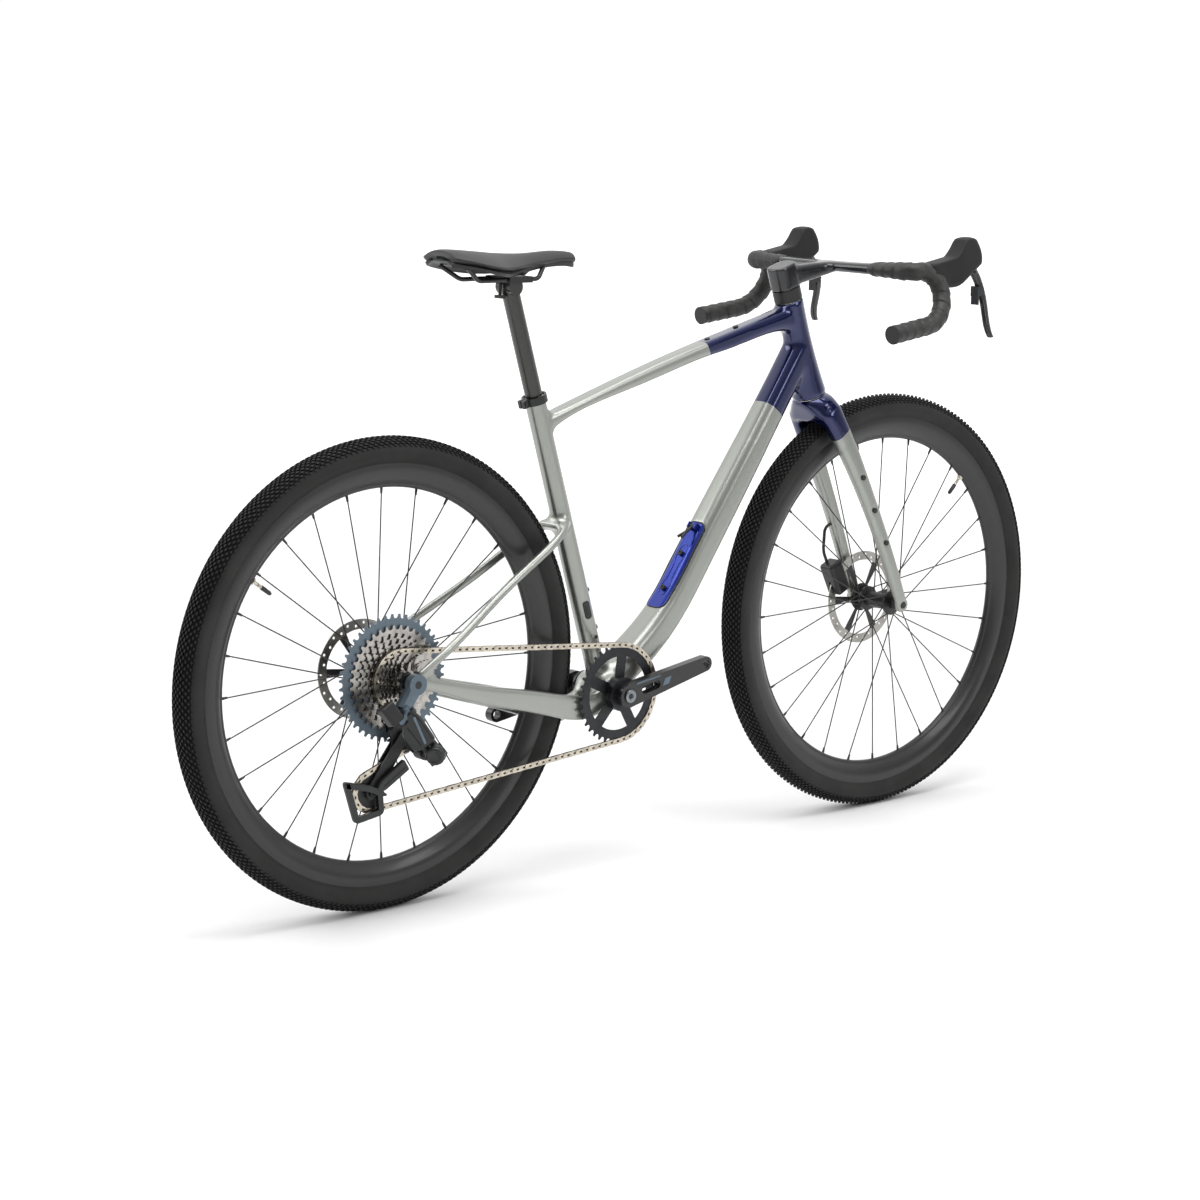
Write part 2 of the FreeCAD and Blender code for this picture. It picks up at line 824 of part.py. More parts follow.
def make_wheels():
    """Both wheels with their tyres, rims, spokes, hubs and rotors."""
    for name, centre in (("front", front_axle_at), ("rear", rear_axle_at)):
        make_tyre(name + "_tyre", centre)
        make_rim(name + "_rim", centre)
    make_hub("front_hub", front_axle_at, s.front_hub_half, s.front_flange_right,
             s.front_flange_left, s.front_flange_radius, s.front_rotor_offset)
    make_rear_hub()
    shape_node("front_spokes", spoke_set(front_axle_at, s.front_flange_right, s.front_flange_left,
                                         s.front_flange_radius))
    shape_node("rear_spokes", spoke_set(rear_axle_at, s.rear_flange_right, s.rear_flange_left,
                                        s.rear_flange_radius))
    placed_node("front_rotor", rotor_shape(s.front_rotor_radius), moved(front_axle_at, s.front_rotor_offset))
    placed_node("rear_rotor", rotor_shape(s.rear_rotor_radius), moved(rear_axle_at, s.rear_rotor_offset))


def make_rear_hub():
    """The rear hub, whose right end is the thin axle that carries the freehub."""
    bore = s.axle_radius + s.running_fit
    inner = s.freehub_bore - s.running_fit
    body = s.hub_body_radius
    thick = s.hub_flange_thick
    right = s.rear_flange_right
    left = s.rear_flange_left
    seat_end = s.rear_rotor_offset + s.rotor_lock_half
    turned("rear_hub", [[
        (bore, -s.rear_hub_half), (inner, -s.rear_hub_half), (inner, -right - thick),
        (body, -right - thick), (s.rear_flange_radius, -right - thick / 2),
        (s.rear_flange_radius, -right + thick / 2), (body, -right + thick),
        (body, left - thick), (s.rear_flange_radius, left - thick / 2),
        (s.rear_flange_radius, left + thick / 2), (s.rotor_seat_radius, left + thick),
        (s.rotor_seat_radius, seat_end), (s.hub_cap_radius, seat_end),
        (s.hub_cap_radius, s.rear_hub_half), (bore, s.rear_hub_half),
    ]], rear_axle_at)


# Chain drive

def pitch_radius(teeth):
    """Radius of the circle on which the chain's rollers lie."""
    return s.chain_pitch / (2 * math.sin(math.pi / teeth))


class Wheel2D:
    """A toothed wheel in the chain's plane; turn is 1 where the chain goes round it to the left."""

    def __init__(self, name, centre, teeth, turn):
        self.name = name
        self.centre = centre
        self.teeth = teeth
        self.turn = turn
        self.radius = float(pitch_radius(teeth))
        self.phase = 0.0


class ChainPath:
    """The closed line of the chain round its wheels, measured in links."""

    def __init__(self, wheels):
        self.wheels = wheels
        count = len(wheels)
        self.headings = [self.tangent(wheels[i], wheels[(i + 1) % count]) for i in range(count)]
        self.pieces = []
        self.length = 0.0
        for i, wheel in enumerate(wheels):
            start = self.headings[i - 1] - wheel.turn * math.pi / 2
            end = self.headings[i] - wheel.turn * math.pi / 2
            sweep = (end - start) * wheel.turn % (2 * math.pi)
            self.add(("arc", wheel, start, 0.0), sweep / (2 * math.pi) * wheel.teeth)
            following = wheels[(i + 1) % count]
            first = self.contact(wheel, self.headings[i])
            last = self.contact(following, self.headings[i])
            self.add(("run", first, last, self.headings[i]), (last - first).Length / s.chain_pitch)

    def add(self, piece, links):
        self.pieces.append((self.length, links, piece))
        self.length += links

    @staticmethod
    def tangent(one, two):
        """Heading of the straight run that leaves one wheel and meets the next."""
        gap = two.centre - one.centre
        lean = math.asin((two.turn * two.radius - one.turn * one.radius) / gap.Length)
        return math.atan2(gap.z, gap.x) - lean

    @staticmethod
    def contact(wheel, heading):
        left = Vector(-math.sin(heading), 0, math.cos(heading))
        return wheel.centre - left * (wheel.turn * wheel.radius)

    def at(self, link):
        """The point this many links along, and the wheel it lies on, if any."""
        link = link % self.length
        for start, links, piece in self.pieces:
            if start <= link <= start + links:
                break
        if piece[0] == "run":
            return piece[1] + (piece[2] - piece[1]) * ((link - start) / links), None
        wheel = piece[1]
        angle = piece[2] + wheel.turn * (link - start) / wheel.teeth * 2 * math.pi
        return wheel.centre + polar(wheel.radius, math.degrees(angle)), wheel


cage_pivot = rear_hub + Vector(s.cage_pivot_ahead, 0, -s.cage_pivot_below)


def drive_wheels(cage_degrees):
    """The four toothed wheels, with the cage swung this far from its drawn angle."""
    swing = Rotation(Y_AXIS, -cage_degrees)
    guide = cage_pivot + swing.multVec(Vector(-s.guide_back, 0, s.guide_up))
    tension = cage_pivot + swing.multVec(Vector(-s.tension_back, 0, -s.tension_down))
    return [
        Wheel2D("chainring", Vector(bracket), RING_TEETH, 1),
        Wheel2D("cog", Vector(rear_hub), COG_TEETH[DRIVE_COG], 1),
        Wheel2D("guide", guide, GUIDE_TEETH, -1),
        Wheel2D("tension", tension, TENSION_TEETH, 1),
    ]


def close_chain():
    """Swing the cage until the chain closes on a whole, even number of links."""
    low, high = -20.0, 20.0
    links = 2 * round(ChainPath(drive_wheels(0.0)).length / 2)
    rising = ChainPath(drive_wheels(high)).length > ChainPath(drive_wheels(low)).length
    for _ in range(60):
        middle = (low + high) / 2
        if (ChainPath(drive_wheels(middle)).length > links) == rising:
            high = middle
        else:
            low = middle
    path = ChainPath(drive_wheels(middle))
    for number in range(links):
        roller, wheel = path.at(number)
        if wheel is not None:
            spot = roller - wheel.centre
            wheel.phase = math.degrees(math.atan2(spot.z, spot.x))
    return path, links, middle


chain_path, chain_links, cage_swing = close_chain()
chainring_wheel, cog_wheel, guide_wheel, tension_wheel = chain_path.wheels
chain_plane = -Y_AXIS * s.chain_line
print("chain links", chain_links, "cage swing", round(cage_swing, 3))


def tooth_wire(teeth, phase):
    """Outline of a toothed wheel whose gaps hold the chain's rollers."""
    radius = pitch_radius(teeth)
    seat = s.roller_radius + s.roller_fit
    tip = radius + s.tooth_rise
    half_tip = math.degrees(s.tooth_half_tip / tip)
    hold = math.radians(70.0)
    pitch = 360.0 / teeth
    edges = []
    for gap in range(teeth):
        turn = phase + gap * pitch
        middle = polar(1, turn)
        side = polar(1, turn + 90.0)
        centre = middle * radius
        low = centre - middle * seat
        before = centre - middle * (seat * math.cos(hold)) - side * (seat * math.sin(hold))
        after = centre - middle * (seat * math.cos(hold)) + side * (seat * math.sin(hold))
        crest = turn + pitch / 2
        edges.append(Part.Arc(before, low, after).toShape())
        edges.append(Part.LineSegment(after, polar(tip, crest - half_tip)).toShape())
        edges.append(Part.LineSegment(polar(tip, crest - half_tip), polar(tip, crest + half_tip)).toShape())
        following = polar(1, turn + pitch)
        next_side = polar(1, turn + pitch + 90.0)
        next_start = following * (radius - seat * math.cos(hold)) - next_side * (seat * math.sin(hold))
        edges.append(Part.LineSegment(polar(tip, crest + half_tip), next_start).toShape())
    return Part.Wire(edges)


def make_cassette():
    """Cogs joined into one open cone, on the freehub."""
    pieces = []
    offset = DRIVE_COG * s.cog_pitch + s.chain_line
    bore = s.freehub_radius + s.running_fit
    for number, teeth in enumerate(COG_TEETH):
        phase = cog_wheel.phase if number == DRIVE_COG else 0.0
        smaller = COG_TEETH[max(number - 1, 0)]
        web = max(bore, pitch_radius(smaller) - s.roller_radius - s.cog_web * 2)
        cog = flat(tooth_wire(teeth, phase), [circle_wire(MIDDLE, web)], s.sprocket_thick)
        at = -Y_AXIS * (offset - number * s.cog_pitch)
        cog.translate(at)
        pieces.append(cog)
        if number:
            smaller_at = at - Y_AXIS * s.cog_pitch
            pieces.append(rod(smaller_at, at, web + s.cog_web).cut(rod(smaller_at, at, web)))
    placed_node("cassette", pieces[0].fuse(pieces[1:]).removeSplitter(), rear_axle_at)
    outer = offset + s.cog_pitch / 2
    inner = s.rear_flange_right + s.hub_flange_thick + s.running_fit * 2
    turned("freehub", [[
        (s.freehub_bore, -outer), (s.freehub_radius, -outer), (s.freehub_radius, -inner),
        (s.freehub_bore, -inner),
    ]], rear_axle_at)


def make_chainring():
    """A chainring with open windows, seated on the right crank's inner face."""
    seat = pitch_radius(RING_TEETH) - s.ring_rim_width
    holes = [circle_wire(MIDDLE, s.spindle_radius + s.running_fit)]
    share = 360.0 / RING_ARMS
    wide = math.degrees(s.ring_arm_width / 2 / seat)
    near = math.degrees(s.ring_arm_width / 2 / s.ring_hub_radius)
    for arm in range(RING_ARMS):
        start = s.crank_angle + arm * share
        middle = start + share / 2
        holes.append(Part.Wire([
            Part.Arc(polar(seat, start + wide), polar(seat, middle),
                     polar(seat, start + share - wide)).toShape(),
            Part.LineSegment(polar(seat, start + share - wide),
                             polar(s.ring_hub_radius, start + share - near)).toShape(),
            Part.Arc(polar(s.ring_hub_radius, start + share - near), polar(s.ring_hub_radius, middle),
                     polar(s.ring_hub_radius, start + near)).toShape(),
            Part.LineSegment(polar(s.ring_hub_radius, start + near), polar(seat, start + wide)).toShape(),
        ]))
    ring = flat(tooth_wire(RING_TEETH, chainring_wheel.phase), holes, s.sprocket_thick)
    ring.translate(chain_plane)
    reach = s.crank_inner - s.chain_line
    hub = Part.makeCylinder(s.ring_hub_radius, reach, -Y_AXIS * s.crank_inner, Y_AXIS)
    bore = Part.makeCylinder(s.spindle_radius + s.running_fit, reach, -Y_AXIS * s.crank_inner, Y_AXIS)
    placed_node("chainring", ring.fuse(hub.cut(bore)).removeSplitter(), bracket_at)


def link_plate(offset, height, bore):
    """One side plate of a link, between two pins a pitch apart along X."""
    half = s.chain_pitch / 2
    outer = Part.Wire([
        Part.LineSegment(Vector(-half, 0, -height), Vector(half, 0, -height)).toShape(),
        Part.Arc(Vector(half, 0, -height), Vector(half + height, 0, 0), Vector(half, 0, height)).toShape(),
        Part.LineSegment(Vector(half, 0, height), Vector(-half, 0, height)).toShape(),
        Part.Arc(Vector(-half, 0, height), Vector(-half - height, 0, 0), Vector(-half, 0, -height)).toShape(),
    ])
    holes = [circle_wire(Vector(end * half, 0, 0), bore) for end in (-1, 1)] if bore else []
    shape = flat(outer, holes, s.link_plate)
    shape.translate(Y_AXIS * offset)
    return shape


def make_chain():
    """Inner and outer links in turn, with every roller in its place on the path."""
    bore = s.pin_radius + s.pin_fit
    half = s.chain_pitch / 2
    near = s.roller_half + s.link_plate / 2
    far = near + s.link_plate + s.link_plate_gap
    inner = [link_plate(side * near, s.link_half_height, bore) for side in (-1, 1)]
    outer = [link_plate(side * far, s.link_half_height, 0) for side in (-1, 1)]
    for end in (-1, 1):
        at = X_AXIS * (end * half)
        roller = disc(at, s.roller_radius, s.roller_half * 2)
        inner.append(roller.cut(disc(at, bore, s.roller_half * 3)))
        outer.append(disc(at, s.pin_radius, far * 2))
    masters = (inner[0].fuse(inner[1:]).removeSplitter(), outer[0].fuse(outer[1:]).removeSplitter())
    links = []
    for number in range(chain_links):
        start = chain_path.at(number)[0]
        gap = chain_path.at(number + 1)[0] - start
        link = masters[number % 2].copy()
        lean = math.degrees(math.atan2(gap.z, gap.x))
        link.Placement = Placement(start + gap / 2 + chain_plane, Rotation(Y_AXIS, -lean))
        links.append(link)
    shape_node("chain", Part.makeCompound(links))


def crank_arm(turn):
    """A tapered arm with a window and a pedal hole, from the axle out along X."""
    length = s.crank_length
    boss = s.crank_boss_radius
    tip = s.crank_tip_radius
    lean = math.degrees(math.acos((boss - tip) / length))
    far = Vector(length, 0, 0)
    outline = Part.Wire([
        Part.Arc(polar(boss, lean), Vector(-boss, 0, 0), polar(boss, -lean)).toShape(),
        Part.LineSegment(polar(boss, -lean), far + polar(tip, -lean)).toShape(),
        Part.Arc(far + polar(tip, -lean), far + Vector(tip, 0, 0), far + polar(tip, lean)).toShape(),
        Part.LineSegment(far + polar(tip, lean), polar(boss, lean)).toShape(),
    ])
    start = Vector(s.crank_slot_start, 0, 0)
    end = start + Vector(s.crank_slot_length, 0, 0)
    wide = Vector(0, 0, s.crank_slot_half)
    slot = Part.Wire([
        Part.LineSegment(start - wide, end - wide).toShape(),
        Part.Arc(end - wide, end + Vector(s.crank_slot_half, 0, 0), end + wide).toShape(),
        Part.LineSegment(end + wide, start + wide).toShape(),
        Part.Arc(start + wide, start - Vector(s.crank_slot_half, 0, 0), start - wide).toShape(),
    ])
    arm = flat(outline, [slot, circle_wire(far, s.pedal_hole_radius)], s.crank_thick)
    arm.rotate(MIDDLE, Y_AXIS, -turn)
    return arm


def make_cranks():
    """Right crank with the spindle and its cap, and the left crank on the spindle's other end."""
    middle = s.crank_inner + s.crank_thick / 2
    outer = s.crank_inner + s.crank_thick
    cap = Part.makeCylinder(s.crank_cap_radius, s.crank_cap_proud, -Y_AXIS * outer, -Y_AXIS)
    right = crank_arm(s.crank_angle)
    right.translate(-Y_AXIS * middle)
    spindle = rod(-Y_AXIS * s.crank_inner, Y_AXIS * outer, s.spindle_radius)
    right = right.fuse([spindle, cap]).removeSplitter()
    left = crank_arm(s.crank_angle + 180.0)
    left.translate(Y_AXIS * middle)
    left = left.cut(rod(Y_AXIS * 0, Y_AXIS * (outer * 2), s.spindle_radius))
    placed_node("right_crank", right, bracket_at)
    placed_node("left_crank", left, bracket_at)


# Frame

def ring_row(start, end, up, rows, bow, depth, width, shrink=0.0, overrun=0.0):
    """Rounded rings along a bowed line, drawn in by shrink and run on past its ends."""
    line = end - start
    along = unit(line)
    across = unit(up - along * up.dot(along))
    centres = [start + line * row[0] + across * (bow * row[1]) for row in rows]
    rings = []
    for number, row in enumerate(rows):
        ahead = centres[min(number + 1, len(rows) - 1)]
        behind = centres[max(number - 1, 0)]
        heading = unit(ahead - behind)
        centre = centres[number]
        if number == 0:
            centre = centre - heading * overrun
        if number == len(rows) - 1:
            centre = centre + heading * overrun
        half_up = depth * row[2] / 2 - shrink
        half_side = width * row[3] / 2 - shrink
        rings.append(rounded_ring(centre, heading, across, half_up, half_side, row[4]))
    return rings


def bolt(at, outward):
    """A button-head bolt whose head stands on a surface."""
    shank = rod(at - outward * s.bolt_length, at, s.bolt_radius)
    head = rod(at, at + outward * s.bolt_head_height, s.bolt_head_radius)
    return shank.fuse(head).removeSplitter()


def head_outer():
    """The head tube's outside as a solid, for its neighbours to be cut to."""
    waist = s.head_length / 2
    profile = Part.Wire([
        Part.LineSegment(Vector(0, 0, 0), Vector(s.head_base_radius, 0, 0)).toShape(),
        Part.LineSegment(Vector(s.head_base_radius, 0, 0),
                         Vector(s.head_base_radius, s.bearing_height, 0)).toShape(),
        Part.Arc(Vector(s.head_base_radius, s.bearing_height, 0), Vector(s.head_waist_radius, waist, 0),
                 Vector(s.head_top_radius, s.head_length, 0)).toShape(),
        Part.LineSegment(Vector(s.head_top_radius, s.head_length, 0), Vector(0, s.head_length, 0)).toShape(),
        Part.LineSegment(Vector(0, s.head_length, 0), MIDDLE).toShape(),
    ])
    solid = Part.Face(profile).revolve(MIDDLE, Y_AXIS, 360)
    solid.Placement = Placement(on_steerer(0), Rotation(Y_AXIS, steer_up))
    return solid


def make_head_tube():
    """The head tube with a pocket for a bearing at each end."""
    waist = s.head_length / 2
    top = s.head_length - s.bearing_height
    turned("head_tube", [[
        (s.lower_bearing_radius, 0), (s.head_base_radius, 0), (s.head_base_radius, s.bearing_height),
        via(s.head_waist_radius, waist), (s.head_top_radius, s.head_length),
        (s.upper_bearing_radius, s.head_length), (s.upper_bearing_radius, top),
        (s.head_bore_radius, top), (s.head_bore_radius, s.bearing_height),
        (s.lower_bearing_radius, s.bearing_height),
    ]], on_steerer(0), steer_up)


def bearing_ring(at, axis, outer, inner, height):
    """One bearing, as a plain ring standing on a point."""
    ring = Part.makeCylinder(outer, height, at, axis)
    return ring.cut(Part.makeCylinder(inner, height, at, axis))


def make_bearings():
    """Headset and bottom bracket bearings."""
    lower = bearing_ring(on_steerer(0), steer_up, s.lower_bearing_radius,
                         s.steerer_base_radius + s.running_fit, s.bearing_height)
    upper = bearing_ring(on_steerer(s.head_length - s.bearing_height), steer_up, s.upper_bearing_radius,
                         s.steerer_radius + s.running_fit, s.bearing_height)
    shape_node("headset_bearings", Part.makeCompound([lower, upper]))
    cups = []
    for side in (-1, 1):
        inside = bracket + Y_AXIS * (side * (s.bb_half_width - s.bb_bearing_depth))
        face = bracket + Y_AXIS * (side * s.bb_half_width)
        cup = rod(inside, face, s.bb_bearing_radius)
        lip = rod(face, face + Y_AXIS * (side * s.bb_cup_lip), s.bb_bearing_radius + s.bb_cup_lip / 2)
        bore = rod(inside - Y_AXIS * (side * s.cut_overrun), face + Y_AXIS * (side * s.bb_cup_lip * 2),
                   s.spindle_radius + s.running_fit)
        cups.append(cup.fuse(lip).removeSplitter().cut(bore))
    shape_node("bottom_bracket_bearings", Part.makeCompound(cups))


down_start = bracket
down_end = on_steerer(s.down_tube_head_drop)
top_start = on_seat_tube(s.seat_tube_length - s.top_tube_seat_drop)
top_end = on_steerer(s.head_length - s.top_tube_head_drop)
down_along = unit(down_end - down_start)
down_across = unit(Vector(down_along.z, 0, -down_along.x))


def down_rings(shrink=0.0, overrun=0.0):
    """Rings of the down tube, which bows forward and down."""
    return ring_row(down_start, down_end, down_across, DOWN_TUBE_SHARES, s.down_tube_bow,
                    s.down_tube_depth, s.down_tube_width, shrink, overrun)


def top_rings(shrink=0.0, overrun=0.0):
    """Rings of the top tube, which arches up a little."""
    return ring_row(top_start, top_end, Z_AXIS, TOP_TUBE_SHARES, s.top_tube_bow,
                    s.top_tube_height, s.top_tube_width, shrink, overrun)


def on_ring(ring, direction):
    """The point of a ring that lies furthest in a direction, on the ring's own middle plane."""
    best = max((vertex.Point for vertex in ring.Vertexes), key=lambda point: point.dot(direction))
    centre = ring.BoundBox.Center
    return centre + direction * (best - centre).dot(direction)


def make_seat_clamp():
    """A split collar round the top of the seat tube, with a bolt behind."""
    low = on_seat_tube(s.seat_tube_length - s.clamp_height)
    high = on_seat_tube(s.seat_tube_length)
    back = Vector(-seat_up.z, 0, seat_up.x)
    outer = s.seat_tube_radius + s.clamp_wall
    middle = low + (high - low) / 2
    ears = brick(middle + back * (outer + s.clamp_ear / 2 - s.clamp_wall), back, seat_up,
                 s.clamp_ear, s.clamp_ear_half * 2, s.clamp_height)
    collar = rod(low, high, outer).fuse(ears)
    collar = collar.cut(rod(low, high, s.seat_tube_radius))
    slit = brick(middle + back * outer, back, seat_up, s.clamp_ear * 2, s.clamp_slit, s.clamp_height * 2)
    collar = collar.cut(slit)
    at = middle + back * (outer + s.clamp_ear / 2 - s.clamp_wall / 2)
    reach = Y_AXIS * (s.clamp_ear_half + s.bolt_head_height / 2)
    screw = rod(at - reach, at + reach, s.clamp_bolt_radius)
    collar = collar.cut(screw)
    shape_node("seat_clamp", Part.makeCompound([collar.removeSplitter(), screw]))


def chainstay(side, drop):
    """One chainstay from the bottom bracket back to its dropout, dropped in the middle."""
    line = rear_hub - bracket
    span = s.rear_hub_half + s.dropout_thick / 2
    rows = []
    for along, fall, tall, wide, corner, out in CHAINSTAY_SHARES:
        centre = bracket + line * along
        centre = centre - Z_AXIS * (s.chainstay_drop * fall + drop * fall)
        rows.append((centre + Y_AXIS * (side * span * out), tall, wide, corner))
    rings = []
    for number, (centre, tall, wide, corner) in enumerate(rows):
        ahead = rows[min(number + 1, len(rows) - 1)][0]
        behind = rows[max(number - 1, 0)][0]
        heading = unit(ahead - behind)
        rings.append(rounded_ring(centre, heading, Z_AXIS, s.chainstay_height * tall / 2,
                                  s.chainstay_width * wide / 2, corner))
    inner = side * s.rear_hub_half
    tab = rod(rear_hub + Y_AXIS * inner, rear_hub + Y_AXIS * (inner + side * s.dropout_thick),
              s.dropout_radius)
    hole = rod(rear_hub, rear_hub + Y_AXIS * (span * side * 2), s.axle_radius)
    stay = loft(rings).fuse(tab)
    room = rod(rear_hub - Y_AXIS * s.rear_hub_half, rear_hub + Y_AXIS * s.rear_hub_half, s.dropout_radius * 2)
    return stay.cut(room).cut(hole)


def seatstay(side):
    """One thin seatstay from behind the seat tube to the dropout."""
    start = on_seat_tube(s.seatstay_start)
    line = rear_hub - start
    reach = s.rear_hub_half + s.dropout_thick / 2
    rows = []
    for along, out, tall, wide in SEATSTAY_SHARES:
        rows.append((start + line * along + Y_AXIS * (side * reach * out), tall, wide))
    rings = []
    for number, (centre, tall, wide) in enumerate(rows):
        ahead = rows[min(number + 1, len(rows) - 1)][0]
        behind = rows[max(number - 1, 0)][0]
        rings.append(rounded_ring(centre, unit(ahead - behind), Z_AXIS, s.seatstay_height * tall / 2,
                                  s.seatstay_width * wide / 2, CORNER_SHARE))
    return loft(rings)


def make_frame():
    """The tubes of the frame, each cut to the ones it meets."""
    head = head_outer()
    seat = rod(on_seat_tube(0), on_seat_tube(s.seat_tube_length), s.seat_tube_radius)
    shell = rod(bracket - Y_AXIS * s.bb_half_width, bracket + Y_AXIS * s.bb_half_width, s.bb_shell_radius)
    down = loft(down_rings())
    top = loft(top_rings())
    make_head_tube()
    make_bearings()
    make_seat_clamp()

    spindle_room = s.spindle_radius + s.bb_cup_lip / 2
    cup_depth = s.bb_half_width - s.bb_bearing_depth
    bores = [rod(bracket - Y_AXIS * s.bb_half_width, bracket + Y_AXIS * s.bb_half_width, spindle_room)]
    for side in (-1, 1):
        bores.append(rod(bracket + Y_AXIS * (side * cup_depth), bracket + Y_AXIS * (side * s.bb_half_width),
                         s.bb_bearing_radius))
    shape_node("bottom_bracket_shell", shell.cut(bores))

    down_tube = down.cut(loft(down_rings(s.frame_wall, s.cut_overrun))).cut([head, shell])
    down_tube = make_storage(one_solid(down_tube))
    shape_node("down_tube", down_tube)

    lower = on_seat_tube(s.seat_bolt_height)
    ahead = Vector(seat_up.z, 0, -seat_up.x)
    face = ahead * s.seat_tube_radius
    bolts = [bolt(lower + face, ahead), bolt(lower + seat_up * s.bolt_pitch + face, ahead)]
    ridge = unit(top_end - top_start)
    crest = unit(ridge.cross(Y_AXIS))
    crown = on_ring(top_rings()[3], crest)
    for step in (0, 1):
        spot = crown + ridge * (s.top_bolt_offset + s.bolt_pitch * step)
        bolts.append(bolt(spot - crest * s.frame_wall, crest))
    shape_node("frame_bolts", Part.makeCompound(bolts))

    bore = rod(on_seat_tube(0), on_seat_tube(s.seat_tube_length + s.cut_overrun),
               s.post_radius + s.running_fit)
    seat_tube = one_solid(seat.cut(bore).cut([shell, down] + bolts))
    shape_node("seat_tube", seat_tube)
    top_tube = top.cut(loft(top_rings(s.frame_wall, s.cut_overrun))).cut([head, seat, down] + bolts)
    shape_node("top_tube", one_solid(top_tube))

    stays = {side: chainstay(side, drop) for side, drop in ((-1, 0.0), (1, s.left_stay_drop))}
    for side, name in ((-1, "right_chainstay"), (1, "left_chainstay")):
        stays[side] = one_solid(stays[side].cut([shell, down, seat]))
        shape_node(name, stays[side])
    right = seatstay(-1)
    stay_top = on_seat_tube(s.seatstay_start)
    bridge_at = stay_top + unit(rear_hub - stay_top) * s.bridge_setback + Z_AXIS * s.bridge_radius
    splay = Y_AXIS * s.seatstay_splay
    bridge = rod(bridge_at - splay, bridge_at + splay, s.bridge_radius)
    pair = right.fuse([mirrored(right), bridge])
    pair = pair.cut([seat, stays[-1], stays[1]])
    room = rod(rear_hub - Y_AXIS * s.rear_hub_half, rear_hub + Y_AXIS * s.rear_hub_half, s.dropout_radius * 2)
    holes = [room, rod(rear_hub - Y_AXIS * s.wheel_radius, rear_hub + Y_AXIS * s.wheel_radius,
                       s.dropout_radius)]
    shape_node("seatstays", one_solid(pair.cut(holes)))


# Storage in the down tube

def hatch_frame():
    """Where the hatch lies: its lower end on the tube's upper face, and its directions."""
    low, high = down_rings()[3], down_rings()[5]
    along = unit(high.BoundBox.Center - low.BoundBox.Center)
    out = unit(Vector(-along.z, 0, along.x))
    return on_ring(low, out) - along * s.hatch_back, along, out


def hatch_prism(grow, depth):
    """A rounded block through the tube's upper wall, grown by a margin."""
    at, along, out = hatch_frame()
    ring = rounded_ring(at - out * depth, out, along, s.hatch_length / 2 + grow,
                        s.hatch_width / 2 + grow, s.hatch_corner * 2 / s.hatch_width)
    ring.translate(along * (s.hatch_length / 2))
    return Part.Face(ring).extrude(out * (depth * 2))


def make_storage(down_tube):
    """Cut the opening, and make its hatch and latch; gives back the opened tube."""
    at, along, out = hatch_frame()
    depth = s.hatch_width / 2
    panel = one_solid(down_tube.common(hatch_prism(0.0, depth)))
    opened = down_tube.cut(hatch_prism(s.hatch_gap, depth))
    pivot = at + along * (s.hatch_length - s.latch_inset) + out * (s.hatch_ear_height / 2)
    ears = []
    for side in (-1, 1):
        spot = pivot + Y_AXIS * (side * (s.hatch_ear_half + s.hatch_ear_thick / 2)) - out * (s.frame_wall / 2)
        ears.append(brick(spot, along, out, s.hatch_ear_height, s.hatch_ear_thick,
                          s.hatch_ear_height + s.frame_wall))
    hole = rod(pivot - Y_AXIS * s.hatch_width, pivot + Y_AXIS * s.hatch_width,
               s.latch_pin_radius + s.running_fit)
    bolts = []
    for step in (0, 1):
        spot = at + along * (s.hatch_bolt_inset + s.bolt_pitch * step)
        bolts.append(bolt(spot, out))
    hatch = panel.fuse(ears).cut(hole).cut(bolts)
    shape_node("storage_hatch", Part.makeCompound([one_solid(hatch)] + bolts))

    barrel = disc(pivot, s.latch_radius, (s.hatch_ear_half - s.running_fit * 4) * 2)
    pin_half = s.hatch_ear_half + s.hatch_ear_thick
    pin = rod(pivot - Y_AXIS * pin_half, pivot + Y_AXIS * pin_half, s.latch_pin_radius)
    lift = unit(out * 1.0 - along * 2.0)
    fork_at = pivot + lift * (s.latch_length / 2)
    tines = [rod(pivot, fork_at, s.latch_radius * 0.8)]
    for side in (-1, 1):
        tip = pivot + lift * s.latch_length + Y_AXIS * (side * s.latch_tip_spread)
        tines.append(rod(fork_at, tip, s.latch_tip_radius))
    shape_node("hatch_latch", barrel.fuse([pin] + tines).removeSplitter())
    return opened


# Seatpost and saddle

def make_seat():
    """Seatpost with a round head, and the saddle clamped on it."""
    head_at = on_seat_tube(s.post_top)
    low = on_seat_tube(s.post_top - s.post_length)
    post = rod(low, head_at, s.post_radius)
    hollow = rod(low, on_seat_tube(s.post_top - s.post_head_radius * 2), s.post_radius - s.post_wall)
    head = disc(head_at, s.post_head_radius, s.post_head_half * 2)
    shape_node("seatpost", post.cut(hollow).fuse(head).removeSplitter())

    rail_at = head_at + Z_AXIS * (s.rail_height + s.rail_radius)
    rails = saddle_rails(rail_at)
    clamp = make_saddle_clamp(head_at, rail_at)
    shape_node("saddle_rails", Part.makeCompound(rails))
    shape_node("saddle_clamp", Part.makeCompound([part.cut(rails) for part in clamp]))
    make_saddle(head_at, rails)


def saddle_rails(rail_at):
    """Two rails: level through the clamp, rising to the nose and to the tail."""
    rails = []
    for side in (-1, 1):
        level = rail_at + Y_AXIS * (side * s.rail_half_gap)
        half = s.rail_clamp_half
        front = level + X_AXIS * half
        back = level - X_AXIS * half * 2
        nose = front + Vector(s.rail_rise, -side * s.rail_half_gap / 2, s.rail_rise)
        tail = back + Vector(-s.rail_rise * 1.4, side * s.rail_half_gap / 2, s.rail_rise)
        bend = s.rail_rise / 3
        rails.append(bent_rod([tail, back, front, nose], [bend, bend], s.rail_radius))
    return rails


